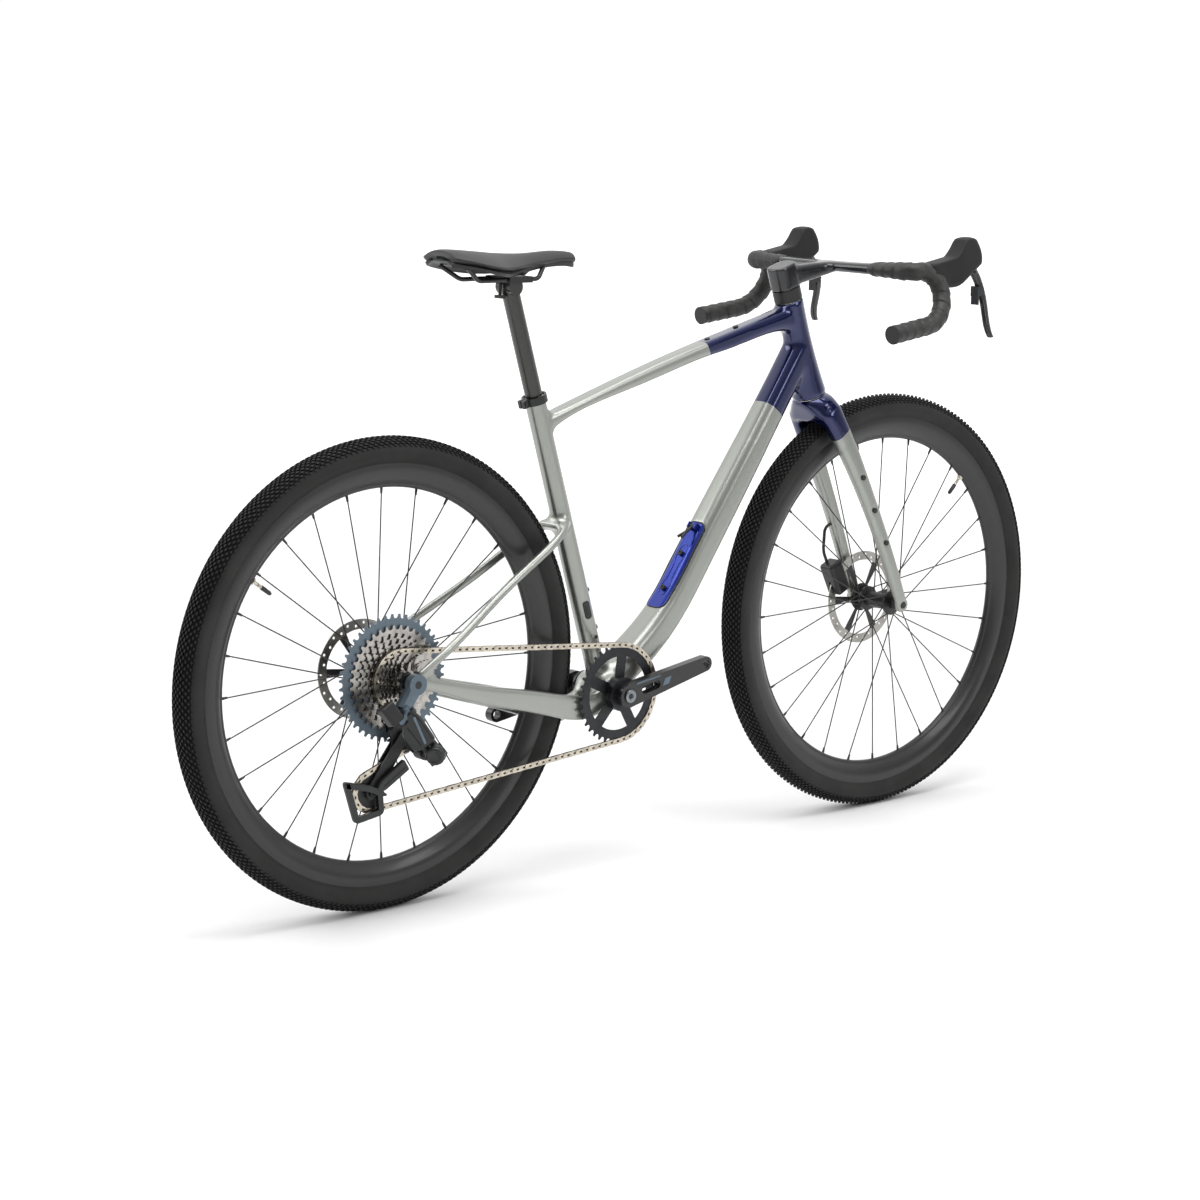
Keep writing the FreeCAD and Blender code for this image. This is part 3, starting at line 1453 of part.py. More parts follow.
def bent_rod(points, bends, radius):
    """A round bar through points, rounded at its corners; a bend is its tangent's length."""
    edges = []
    start = points[0]
    for corner, following, bend in zip(points[1:-1], points[2:], bends):
        into = unit(corner - start)
        out = unit(following - corner)
        first = corner - into * bend
        last = corner + out * bend
        bisector = unit(out - into)
        half = into.getAngle(out) / 2
        arc_radius = bend / math.tan(half)
        middle = corner + bisector * (arc_radius / math.cos(half) - arc_radius)
        edges.append(Part.LineSegment(start, first))
        edges.append(Part.Arc(first, middle, last))
        start = last
    edges.append(Part.LineSegment(start, points[-1]))
    return swept(edges, radius)


def make_saddle_clamp(head_at, rail_at):
    """Lower cradle on the post's head, upper plate on the rails, and two bolts."""
    width = s.rail_half_gap * 2 + s.rail_radius * 4
    lower_at = head_at + Z_AXIS * (s.rail_height - s.cradle_height / 2 + s.rail_radius)
    lower = brick(lower_at, X_AXIS, Z_AXIS, s.cradle_half_length * 2, width, s.cradle_height)
    saddle_block = brick(head_at + Z_AXIS * (s.rail_height / 2), X_AXIS, Z_AXIS,
                         s.cradle_half_length, s.post_head_half * 2, s.rail_height)
    lower = lower.fuse(saddle_block)
    head_room = disc(head_at, s.post_head_radius + s.running_fit, s.post_head_half * 3)
    lower = lower.cut(head_room)
    upper_at = rail_at + Z_AXIS * (s.cradle_height / 2)
    upper = brick(upper_at, X_AXIS, Z_AXIS, s.cradle_half_length * 2, width, s.cradle_height)
    upper = upper.cut(head_room)
    bolts = []
    for end in (-1, 1):
        at = head_at + X_AXIS * (end * s.saddle_bolt_half)
        top = at + Z_AXIS * (s.rail_height + s.rail_radius + s.cradle_height)
        bottom = at - Z_AXIS * s.saddle_bolt_drop
        nut = brick(at - Z_AXIS * (s.saddle_bolt_drop - s.cradle_height / 2), Y_AXIS, Z_AXIS,
                    s.post_head_half, s.saddle_bolt_radius * 3.2, s.cradle_height)
        bolts.append(rod(bottom, top, s.saddle_bolt_radius).fuse(nut).removeSplitter())
    post = rod(on_seat_tube(s.post_top - s.post_length), head_at, s.post_radius + s.saddle_gap * 8)
    bolts = [one_solid(item.cut(post)) for item in bolts]
    return [lower.cut(bolts), upper.cut(bolts)] + bolts


def saddle_ring(place_share, half_share, top_share, drop_share, head_at, lift, shrink):
    """One crosswise ring of the saddle: a crowned top, drawn-in sides and a flat base."""
    x = head_at.x - s.saddle_setback + s.saddle_length * place_share
    top = head_at.z + s.saddle_height + s.saddle_dip * top_share + lift
    half = s.saddle_width / 2 * half_share - shrink
    drop = s.saddle_pad / 2 * drop_share
    base = top - s.saddle_pad / 2 * (drop_share + 0.55)
    inset = half * 0.86

    def at(y, z):
        return Vector(x, y, z)

    crown = [
        Part.Arc(at(-half, top - drop), at(0, top), at(half, top - drop)).toShape(),
        Part.Arc(at(half, top - drop), at((half + inset) / 2, (top - drop + base) / 2 - s.saddle_side_bow),
                 at(inset, base)).toShape(),
        Part.LineSegment(at(inset, base), at(-inset, base)).toShape(),
        Part.Arc(at(-inset, base), at(-(half + inset) / 2, (top - drop + base) / 2 - s.saddle_side_bow),
                 at(-half, top - drop)).toShape(),
    ]
    return Part.Wire(crown)


def make_saddle(head_at, rails):
    """The padded cover, and the base shell under it that holds the rails."""
    cover = loft([saddle_ring(*row, head_at, 0.0, 0.0) for row in SADDLE_SHARES])
    thin = s.saddle_pad / 3
    shell = loft([saddle_ring(*row, head_at, -thin, s.rail_radius) for row in SADDLE_SHARES])
    floor = loft([saddle_ring(*row, head_at, -thin * 1.6, s.rail_radius * 2) for row in SADDLE_SHARES])
    shape_node("saddle_cover", one_solid(cover.cut(shell)))
    shape_node("saddle_shell", one_solid(shell.cut(floor).cut(rails)))


# Fork

def fork_leg():
    """The right leg, from the crown down to the dropout."""
    crown_at = on_steerer(-s.crown_gap)
    line = front_hub - crown_at
    ahead = steer_ahead
    rows = []
    for along, out, deep, wide in FORK_LEG_SHARES:
        lean = math.sin(math.pi * along) * s.fork_rake * 0.14
        centre = crown_at + line * along + ahead * lean - Y_AXIS * (s.fork_leg_splay * out)
        rows.append((centre, deep, wide))
    rings = []
    for number, (centre, deep, wide) in enumerate(rows):
        above = rows[max(number - 1, 0)][0]
        below = rows[min(number + 1, len(rows) - 1)][0]
        rings.append(rounded_ring(centre, unit(below - above), ahead, s.fork_leg_depth * deep / 2,
                                  s.fork_leg_width * wide / 2, CORNER_SHARE * 0.9))
    return loft(rings), rows


def make_fork():
    """Steerer, crown and two legs in one piece, with bolts for bags down each leg."""
    leg, rows = fork_leg()
    inner = s.front_hub_half
    tip = rod(front_hub - Y_AXIS * inner, front_hub - Y_AXIS * (inner + s.fork_tip_thick), s.fork_tip_radius)
    leg = leg.fuse(tip)
    crown_at = on_steerer(-s.crown_gap)
    base = crown_at + (rows[0][0] - crown_at) * 1.0
    base.y = 0
    crown_rings = [
        rounded_ring(crown_at, -steer_up, steer_ahead, s.head_base_radius, s.head_base_radius, CORNER_SHARE),
        rounded_ring(crown_at + (base - crown_at) * 0.45, base - crown_at, steer_ahead,
                     s.fork_crown_depth / 2, s.fork_crown_half * 0.84, CORNER_SHARE * 0.8),
        rounded_ring(base + (base - crown_at) * 0.5, base - crown_at, steer_ahead,
                     s.fork_crown_depth / 2 * 0.92, s.fork_crown_half * 1.04, CORNER_SHARE * 0.7),
    ]
    crown = loft(crown_rings)
    arch = disc(front_hub, s.wheel_radius + s.fork_arch_clear,
                (s.tyre_half_width + s.fork_arch_clear / 2) * 2)
    hub_room = disc(front_hub, s.fork_tip_radius * 2, s.front_hub_half * 2)
    body = crown.fuse([leg, mirrored(leg)]).cut([arch, hub_room])
    body = one_solid(body)
    race = bearing_seat()
    body = body.fuse(race).removeSplitter()
    hole = rod(front_hub - Y_AXIS * s.wheel_radius, front_hub + Y_AXIS * s.wheel_radius, s.axle_radius)
    wall = rod(on_steerer(0), on_steerer(s.head_length * 2), s.steerer_radius - s.steerer_wall)
    bolts = fork_bolts(rows)
    reach = s.front_hub_half + s.fork_tip_thick
    recess = rod(front_hub + Y_AXIS * reach, front_hub + Y_AXIS * s.wheel_radius,
                 s.axle_head_radius + s.axle_head_gap)
    shape_node("fork", one_solid(body.cut([hole, wall, recess] + bolts)))
    shape_node("fork_bolts", Part.makeCompound(bolts))
    axle = rod(front_hub - Y_AXIS * reach, front_hub + Y_AXIS * reach, s.axle_radius)
    head = rod(front_hub + Y_AXIS * reach, front_hub + Y_AXIS * (reach + s.axle_head_thick),
               s.axle_head_radius)
    shape_node("front_axle", axle.fuse(head).removeSplitter())


def bearing_seat():
    """The tapered steerer, from the crown up into the stem."""
    top = s.head_length + s.spacer_stack + s.stem_height - s.frame_wall
    low = s.bearing_height * 1.5
    base = rod(on_steerer(-s.crown_gap * 2), on_steerer(low), s.steerer_base_radius)
    taper = Part.makeCone(s.steerer_base_radius, s.steerer_radius, s.steerer_taper, on_steerer(low), steer_up)
    tube = rod(on_steerer(low), on_steerer(top), s.steerer_radius)
    return base.fuse([taper, tube]).removeSplitter()


def fork_bolts(rows):
    """Three bolts a fixed pitch apart on the outside of each leg, and one by each dropout."""
    upper, lower = rows[2][0], rows[3][0]
    down = unit(lower - upper)
    bolts = []
    for step in (0.0, 1.0, 2.0):
        along = upper + down * (s.bolt_pitch * step)
        share = (along - upper).Length / (lower - upper).Length
        wide = s.fork_leg_width / 2 * (rows[2][2] + (rows[3][2] - rows[2][2]) * share)
        bolts.append(bolt(along - Y_AXIS * (wide - s.frame_wall / 2), -Y_AXIS))
    return bolts + [mirrored(item) for item in bolts]


# Bar, stem, tape, hoods and levers

bar_at = on_steerer(s.head_length + s.spacer_stack + s.stem_height / 2) + X_AXIS * s.stem_reach
bar_at = bar_at + Z_AXIS * s.bar_rise
flare_down = Vector(0, -math.sin(math.radians(s.bar_flare)), -math.cos(math.radians(s.bar_flare)))
hook_start = bar_at + Vector(s.bar_bend, -s.bar_half_top - s.bar_bend, 0)


def in_drop(ahead, down):
    """A point of the flared plane in which the right drop curves."""
    return hook_start + X_AXIS * ahead + flare_down * down


def drop_edges():
    """The right half of the bar past its flat top: bend, hook, drop and tail."""
    corner = math.sqrt(0.5)
    bend_from = bar_at - Y_AXIS * s.bar_half_top
    bend_mid = bend_from + Vector(s.bar_bend * (1 - corner), -s.bar_bend * corner, 0)
    hook_end = in_drop(s.bar_hook, s.bar_hook)
    hook_mid = in_drop(s.bar_hook * corner, s.bar_hook * (1 - corner))
    tilt = math.radians(s.bar_tail_tilt)
    turn = math.pi / 2 - tilt

    def swung(angle):
        back = s.bar_hook - s.bar_drop_bend * (1 - math.cos(angle))
        return in_drop(back, s.bar_hook + s.bar_drop_bend * math.sin(angle))

    tail_from = swung(turn)
    tail_end = tail_from - X_AXIS * (s.bar_tail * math.cos(tilt)) + flare_down * (s.bar_tail * math.sin(tilt))
    return [
        Part.Arc(bend_from, bend_mid, hook_start),
        Part.Arc(hook_start, hook_mid, hook_end),
        Part.Arc(hook_end, swung(turn / 2), tail_from),
        Part.LineSegment(tail_from, tail_end),
    ]


def bar_top(grow, inner_end):
    """The flat right half of the bar's top, from a distance out to the start of the bend."""
    rings = []
    for share in (0.0, 0.5, 1.0):
        out = inner_end + (s.bar_half_top - inner_end) * share
        fade = (out / s.bar_half_top) ** 4
        deep = s.bar_top_depth / 2 * (1 - fade) + s.bar_radius * fade
        tall = s.bar_top_height / 2 * (1 - fade) + s.bar_radius * fade
        rings.append(rounded_ring(bar_at - Y_AXIS * out, -Y_AXIS, Z_AXIS, tall + grow, deep + grow,
                                  CORNER_SHARE))
    return loft(rings)


def make_bar():
    """Bar and stem in one piece, with tape, plugs, hoods, levers and paddles on it."""
    clamp_low = on_steerer(s.head_length + s.spacer_stack)
    clamp_high = on_steerer(s.head_length + s.spacer_stack + s.stem_height)
    middle = clamp_low + (clamp_high - clamp_low) / 2
    back = middle - steer_ahead * (s.stem_back - s.stem_half_width)
    block = rounded_ring(clamp_low, steer_up, steer_ahead, s.stem_back, s.stem_half_width, 0.75)
    block = Part.Face(block).extrude(clamp_high - clamp_low)
    arm = loft([
        rounded_ring(back, X_AXIS, Z_AXIS, s.stem_height / 2 * 0.9, s.stem_half_width, 0.5),
        rounded_ring(middle + (bar_at - middle) * 0.55, X_AXIS, Z_AXIS, s.stem_height / 2 * 0.66,
                     s.stem_half_width * 0.95, 0.55),
        rounded_ring(bar_at, X_AXIS, Z_AXIS, s.bar_top_height / 2, s.stem_half_width * 1.25, 0.8),
    ])
    flat_half = bar_top(0.0, 0.0)
    drop = swept(drop_edges(), s.bar_radius)
    half = flat_half.fuse(drop)
    bore = rod(clamp_low - steer_up * s.cut_overrun, clamp_high - steer_up * s.frame_wall, s.steerer_radius)
    spacers = make_spacers()
    cockpit = block.fuse([arm, half, mirrored(half)]).cut([bore] + spacers)
    cockpit = one_solid(cockpit)
    shape_node("cockpit", cockpit)

    hood, lever, paddle = hood_and_lever(half)
    tape = bar_top(s.tape_thick, s.tape_start).fuse(swept(drop_edges(), s.bar_radius + s.tape_thick))
    tape = tape.cut([cockpit, hood])
    shape_node("bar_tape", Part.makeCompound(tape.Solids + mirrored(tape).Solids))
    tail = drop_edges()[-1]
    end = tail.EndPoint
    out = unit(tail.EndPoint - tail.StartPoint)
    plug = rod(end, end + out * s.plug_thick, s.bar_radius + s.tape_thick * 0.8)
    shape_node("bar_end_plugs", Part.makeCompound([plug, mirrored(plug)]))
    for name, shape in (("hood", hood), ("brake_lever", lever), ("shift_paddle", paddle)):
        shape_node("right_" + name, shape)
        shape_node("left_" + name, mirrored(shape))


def make_spacers():
    """Three headset spacers that follow the stem's outline."""
    rings = []
    count = 3
    thick = (s.spacer_stack - s.crown_gap) / count
    for number in range(count):
        low = s.head_length + s.crown_gap + thick * number
        ring = rounded_ring(on_steerer(low), steer_up, steer_ahead, s.spacer_tail - s.spacer_groove,
                            s.spacer_half_width, 0.9)
        body = Part.Face(ring).extrude(steer_up * thick)
        body = body.cut(rod(on_steerer(low - thick), on_steerer(low + thick * 2), s.steerer_radius))
        rings.append(body)
    shape_node("headset_spacers", Part.makeCompound(rings))
    return rings


def hood_and_lever(bar):
    """The right hood on the bar, its brake lever, and the shift paddle behind the lever."""
    corner = hook_start + Vector(s.hood_back, 0, -s.hood_below)
    rings = []
    for out, scale in HOOD_WIDTH_SHARES:
        points = []
        for along, rise, rounded in HOOD_SHARES:
            x = s.hood_length * (0.5 + (along - 0.5) * scale)
            z = s.hood_height * (0.5 + (rise - 0.5) * scale)
            points.append((x, z, True) if rounded else (x, z))
        wire = Part.Wire([edge.geometry.toShape() for edge in outline_edges(points)])
        wire.rotate(MIDDLE, X_AXIS, 90)
        wire.translate(corner + Y_AXIS * (s.hood_half_width * out))
        rings.append(wire)
    hood = loft(rings)
    pivot = corner + Vector(s.lever_pivot_along, 0, s.lever_pivot_rise)
    half_slot = s.lever_half_width + s.lever_slot_gap
    slot = Part.makeBox(s.hood_length, half_slot * 2, s.hood_height)
    reach = s.lever_root + s.lever_slot_gap * 2
    slot.translate(pivot + Vector(-s.lever_depth - s.lever_root, -half_slot, reach - s.hood_height))
    pin_at = Y_AXIS * s.lever_pin_half
    hole = rod(pivot - pin_at, pivot + pin_at, s.lever_pin_radius + s.running_fit)
    hood = one_solid(hood.cut([slot, hole, bar]))

    rings = []
    for down, lean, flare, wide, deep in LEVER_SHARES:
        fall = s.lever_root - (s.lever_length + s.lever_root) * down
        centre = pivot + Vector(s.lever_lean * lean, -s.lever_flare * flare, fall)
        rings.append(rounded_ring(centre, -Z_AXIS, X_AXIS, s.lever_depth * deep / 2,
                                  s.lever_half_width * wide, 0.7))
    lever = loft(rings)
    lever = lever.fuse(rod(pivot - pin_at, pivot + pin_at, s.lever_pin_radius)).removeSplitter()

    share = s.paddle_drop / s.lever_length
    joint = pivot + Vector(s.lever_lean * LEVER_SHARES[1][1] * share / LEVER_SHARES[1][0], 0, -s.paddle_drop)
    cheek = s.lever_half_width + s.paddle_gap + s.paddle_cheek
    tall = s.paddle_drop / 2
    clip = Part.makeBox(s.lever_depth, cheek * 2, tall)
    clip.translate(joint + Vector(-s.lever_depth, -cheek, -tall / 2))
    blade = Part.makeBox(s.paddle_thick, s.paddle_width, s.paddle_length)
    blade.translate(joint + Vector(-s.lever_depth, -cheek, tall / 2 - s.paddle_length))
    gap_ring = [
        rounded_ring(ring.BoundBox.Center, -Z_AXIS, X_AXIS, ring.BoundBox.XLength / 2 + s.paddle_swing_gap,
                     ring.BoundBox.YLength / 2 + s.paddle_gap, 0.7) for ring in rings]
    paddle = clip.fuse(blade).cut(loft(gap_ring))
    pin = rod(joint - Y_AXIS * cheek, joint + Y_AXIS * cheek, s.paddle_pin_radius)
    lever = lever.cut(rod(joint - Y_AXIS * cheek, joint + Y_AXIS * cheek,
                          s.paddle_pin_radius + s.running_fit))
    return hood, one_solid(lever), one_solid(paddle.fuse(pin).removeSplitter())


# Brakes and axles

def caliper(at, along, out):
    """A rounded caliper body, slotted for the rotor it straddles."""
    body = brick(at, along, out, s.caliper_length, s.caliper_width, s.caliper_height)
    return body.makeFillet(s.caliper_round, body.Edges)


def make_hose(fork, front, leg_way):
    """The front brake hose: out of the back of the left leg and down into the caliper."""
    port = front_hub - leg_way * s.hose_port_rise + Y_AXIS * s.hose_out
    entry = front.CenterOfMass - leg_way * (s.caliper_length / 2)
    entry.y = s.front_rotor_offset + s.caliper_width / 4
    bow = leg_way * s.hose_bow
    points = [port, port - steer_ahead * s.hose_bow, entry - bow, entry + bow]
    hose = bent_rod(points, [s.hose_bend, s.hose_bend], s.hose_radius)
    shape_node("front_brake_hose", one_solid(hose.cut([fork, front])))


def make_brakes():
    """Both calipers and the short hose that runs down to the front one."""
    at = front_hub + Vector(-s.front_caliper_back, s.front_rotor_offset, s.front_caliper_rise)
    leg_way = unit(front_hub - on_steerer(0))
    gap = disc(front_hub + Y_AXIS * s.front_rotor_offset, s.front_rotor_radius + s.caliper_slot,
               s.caliper_slot)
    fork = [item for item in NODES if item.Label == "fork"][0].Shape
    front = one_solid(caliper(at, leg_way, steer_ahead).cut([gap, fork]))
    shape_node("front_caliper", front)
    at = rear_hub + Vector(s.rear_caliper_front, s.rear_rotor_offset, s.rear_caliper_rise)
    gap = disc(rear_hub + Y_AXIS * s.rear_rotor_offset, s.rear_rotor_radius + s.caliper_slot, s.caliper_slot)
    stay = [item for item in NODES if item.Label == "left_chainstay"][0].Shape
    stays = [item for item in NODES if item.Label == "seatstays"][0].Shape
    stay_way = unit(bracket - rear_hub)
    rear = caliper(at, stay_way, Z_AXIS).cut([gap, stay, stays])
    shape_node("rear_caliper", one_solid(rear))

    make_hose(fork, front, leg_way)
    left = s.rear_hub_half + s.dropout_thick
    right = left + s.mount_thick
    axle = rod(rear_hub - Y_AXIS * right, rear_hub + Y_AXIS * left, s.axle_radius)
    head = rod(rear_hub + Y_AXIS * left, rear_hub + Y_AXIS * (left + s.axle_head_thick), s.axle_head_radius)
    shape_node("rear_axle", axle.fuse(head).removeSplitter())


# Derailleur

link_line = Vector(s.link_ahead, -s.link_out, -s.link_down)
link_move = unit(Vector(*DERAILLEUR_MOVE_SHARES))
link_move = unit(link_move - unit(link_line) * link_move.dot(unit(link_line)))
link_axis = unit(link_line).cross(link_move)
mount_face = s.rear_hub_half + s.dropout_thick
outer_top = rear_hub + Vector(-s.mount_pivot_back, -mount_face - s.mount_thick / 2 - s.mount_pivot_out,
                              -s.mount_pivot_below)
spread = unit(link_axis.cross(unit(link_line)))
inner_top = outer_top + spread * s.link_spread


def link_shape(top):
    """One link of the parallelogram: a bar between two bored barrels."""
    low = top + link_line
    bar = rod(top, low, s.link_web_half)
    barrels = [disc(at, s.link_barrel_radius, s.link_barrel_half * 2, link_axis) for at in (top, low)]
    bore = s.link_pin_radius + s.running_fit
    bores = [disc(at, bore, s.link_barrel_half * 4, link_axis) for at in (top, low)]
    return bar.fuse(barrels).cut(bores).removeSplitter()


def clevis(pins, toward, stem):
    """A stem that ends in two ears outside the links' barrels, with a pin through each barrel."""
    reach = s.link_barrel_half + s.link_ear_gap
    middle = (pins[0] + pins[1]) / 2
    across = unit(pins[1] - pins[0])
    span = (pins[1] - pins[0]).Length + s.link_barrel_radius * 1.6
    stand = s.link_barrel_radius + s.link_ear_thick
    room_at = middle - toward * (s.link_down / 2 - s.link_barrel_radius - s.link_ear_gap)
    room = brick(room_at, across, link_axis, span * 3, s.link_down, reach * 2)
    parts = []
    for side in (-1, 1):
        aside = link_axis * (side * (reach + s.link_ear_thick / 2))
        at = middle + aside + toward * (stand / 2 - s.link_pin_radius)
        parts.append(brick(at, across, link_axis, span, stand + s.link_barrel_radius, s.link_ear_thick))
    for pin in pins:
        parts.append(disc(pin, s.link_pin_radius, (reach + s.link_ear_thick) * 2, link_axis))
    parts.append(brick(bridge_point(pins, toward), across, link_axis, span, s.link_ear_thick * 2,
                       (reach + s.link_ear_thick) * 2))
    return stem[0].fuse(stem[1:]).cut(room).fuse(parts)


def bridge_point(pins, toward):
    """Middle of the bridge that joins a clevis's two ears."""
    stand = s.link_barrel_radius + s.link_ear_thick * 1.5
    return (pins[0] + pins[1]) / 2 + toward * stand


def make_derailleur():
    """Mount, two links, knuckle with its battery, cage and pulleys."""
    shape_node("derailleur_outer_link", link_shape(outer_top))
    shape_node("derailleur_inner_link", link_shape(inner_top))
    up = -unit(link_line)
    tops = [outer_top, inner_top]
    bridge_at = bridge_point(tops, up)
    face = rear_hub - Y_AXIS * mount_face
    ring = rod(face, face - Y_AXIS * s.mount_thick, s.mount_radius)
    arm = loft([
        rounded_ring(face - Y_AXIS * (s.mount_thick / 2), bridge_at - face, Y_AXIS, s.mount_thick / 2,
                     s.mount_radius * 0.8, 0.6),
        rounded_ring(bridge_at, bridge_at - face, Y_AXIS, s.mount_thick * 0.7, s.mount_radius * 0.7, 0.6),
    ])
    hole = rod(rear_hub, rear_hub - Y_AXIS * s.wheel_radius, s.axle_radius)
    inside = rod(rear_hub, face, s.mount_radius * 2)
    mount = one_solid(clevis(tops, up, [ring, arm]).cut([hole, inside]))
    shape_node("derailleur_mount", mount)
    rest = outer_top + Vector(-s.battery_back, s.battery_in, s.battery_up)
    battery = brick(rest, link_line, Y_AXIS, s.battery_length, s.battery_height, s.battery_width)
    battery = battery.makeFillet(s.battery_round, battery.Edges)
    shape_node("derailleur_battery", one_solid(battery.cut(mount)))

    pins = [outer_top + link_line, inner_top + link_line]
    plate_at = s.chain_line + s.sprocket_thick / 2 + s.cage_clear * 3 + s.cage_plate
    hub_face = cage_pivot - Y_AXIS * (plate_at + s.running_fit * 2)
    drum = rod(hub_face, hub_face - Y_AXIS * s.knuckle_length, s.knuckle_radius)
    neck = rod(hub_face - Y_AXIS * (s.knuckle_length * 0.6), bridge_point(pins, -up), s.knuckle_radius * 0.6)
    socket = rod(hub_face, hub_face - Y_AXIS * (s.knuckle_length * 0.6), s.cage_hub_radius + s.running_fit)
    knuckle = one_solid(clevis(pins, -up, [drum, neck]).cut(socket))
    shape_node("derailleur_knuckle", knuckle)
    make_cage(plate_at)


def hull_plate(centres, radii, thick):
    """A flat plate that wraps round a row of discs."""
    parts = [disc(at, radius, thick) for at, radius in zip(centres, radii)]
    for one, two, near, far in zip(centres[:-1], centres[1:], radii[:-1], radii[1:]):
        gap = two - one
        lean = math.degrees(math.acos(max(-1.0, min(1.0, (near - far) / gap.Length))))
        heading = math.degrees(math.atan2(gap.z, gap.x))
        corners = [
            one + polar(near, heading + lean), two + polar(far, heading + lean),
            two + polar(far, heading - lean), one + polar(near, heading - lean),
        ]
        face = Part.Face(Part.makePolygon(corners + corners[:1]))
        web = face.extrude(Y_AXIS * thick)
        web.translate(-Y_AXIS * (thick / 2))
        parts.append(web)
    return parts[0].fuse(parts[1:]).removeSplitter()


def make_cage(plate_at):
    """Two cage plates joined by the pulley bolts, and the two pulleys between them."""
    guide = guide_wheel.centre
    tension = tension_wheel.centre
    outer_y = -Y_AXIS * (plate_at - s.cage_plate / 2)
    inner_y = -Y_AXIS * (s.chain_line * 2 - plate_at + s.cage_plate / 2)
    outer = hull_plate([cage_pivot, guide, tension], [s.cage_rim, s.cage_arm_half, s.cage_rim], s.cage_plate)
    outer.translate(outer_y)
    inner = hull_plate([guide, tension], [s.cage_arm_half, s.cage_rim], s.cage_plate)
    inner.translate(inner_y)
    parts = [inner]
    for at in (guide, tension):
        parts.append(rod(at + outer_y, at + inner_y, s.pulley_axle_radius))
    hub_face = cage_pivot - Y_AXIS * plate_at
    parts.append(rod(hub_face, hub_face - Y_AXIS * (s.knuckle_length * 0.5), s.cage_hub_radius))
    shape_node("derailleur_cage", outer.fuse(parts).removeSplitter())
    for name, wheel in (("upper_pulley", guide_wheel), ("lower_pulley", tension_wheel)):
        bore = circle_wire(MIDDLE, s.pulley_axle_radius + s.running_fit)
        pulley = flat(tooth_wire(wheel.teeth, wheel.phase), [bore], s.pulley_thick)
        placed_node(name, pulley, wheel.centre + chain_plane)


def write_parts():
    """Check every object, then write each sub-part to its own file."""
    doc.recompute()
    for item in doc.Objects:
        if "Invalid" in item.State or "Error" in item.State:
            raise RuntimeError(f"{item.Name} failed: {item.State}")
    for item in NODES:
        if item.Shape.isNull() or not item.Shape.isValid() or not item.Shape.Solids:
            raise RuntimeError(f"{item.Label} has no valid solid")
    os.makedirs("parts", exist_ok=True)
    for item in NODES:
        item.Shape.exportStep(f"parts/{item.Label}.step")


make_wheels()
make_frame()
make_fork()
make_bar()
make_seat()
make_brakes()
make_cassette()
make_chainring()
make_chain()
make_cranks()
make_derailleur()
write_parts()
print("nodes", len(NODES))
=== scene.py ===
import json
import math

import bmesh
import bpy
from bpy.props import FloatProperty, FloatVectorProperty, IntProperty, PointerProperty
from mathutils import Matrix, Vector
from mathutils.bvhtree import BVHTree


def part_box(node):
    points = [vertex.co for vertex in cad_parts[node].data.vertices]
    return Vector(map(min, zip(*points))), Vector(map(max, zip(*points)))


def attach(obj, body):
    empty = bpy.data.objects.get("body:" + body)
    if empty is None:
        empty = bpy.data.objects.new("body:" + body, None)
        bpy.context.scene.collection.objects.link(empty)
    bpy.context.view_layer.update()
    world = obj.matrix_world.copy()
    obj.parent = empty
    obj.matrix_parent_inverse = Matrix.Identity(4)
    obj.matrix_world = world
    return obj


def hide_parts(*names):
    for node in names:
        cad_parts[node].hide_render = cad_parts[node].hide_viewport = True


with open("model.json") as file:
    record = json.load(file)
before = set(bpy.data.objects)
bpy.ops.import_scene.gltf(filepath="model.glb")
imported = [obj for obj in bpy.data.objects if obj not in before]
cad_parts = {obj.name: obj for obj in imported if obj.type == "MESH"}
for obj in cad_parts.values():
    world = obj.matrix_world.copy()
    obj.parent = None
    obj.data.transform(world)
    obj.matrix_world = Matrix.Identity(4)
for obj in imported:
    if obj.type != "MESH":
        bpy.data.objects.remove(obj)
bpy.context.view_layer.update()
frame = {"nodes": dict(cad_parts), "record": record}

bl_info = {
    "name": "Gravel bike dresser",
    "version": (1, 0, 0),
    "blender": (4, 5, 0),
    "location": "View3D > Sidebar > Bike",
    "description": "Paints, tread, tape, saddle and small trim on a packed gravel bike",
    "category": "Object",
}

JOINTS = {joint["name"]: joint for joint in frame["record"]["behaviour"]["joints"]}
MM = 0.001
X = Vector((1, 0, 0))
Y = Vector((0, 1, 0))
Z = Vector((0, 0, 1))


def joint_at(name):
    """Where a joint turns, in metres."""
    return Vector(JOINTS[name]["pos_m"])


def joint_axis(name):
    """The line a joint turns about or slides along."""
    return Vector(JOINTS[name]["axis"]).normalized()


HUBS = tuple((end, joint_at(f"{end}_wheel_spin")) for end in ("front", "rear"))
BRACKET = joint_at("crank_turn")
STEER_UP = joint_axis("steering")
STEER_FOOT = joint_at("steering")


class PaintSettings(bpy.types.PropertyGroup):
    """Colours of the frame's paint."""

    silver: FloatVectorProperty(
        name="Silver", description="Metallic grey of the frame and fork legs",
        subtype="COLOR", default=(0.335, 0.345, 0.318), min=0, max=1)
    blue: FloatVectorProperty(
        name="Blue", description="Deep metallic blue of the head tube and hatch",
        subtype="COLOR", default=(0.0022, 0.007, 0.07), min=0, max=1)
    grey_blue: FloatVectorProperty(
        name="Grey blue", description="Anodised grey blue of the large cog and the mount",
        subtype="COLOR", default=(0.14, 0.18, 0.215), min=0, max=1)


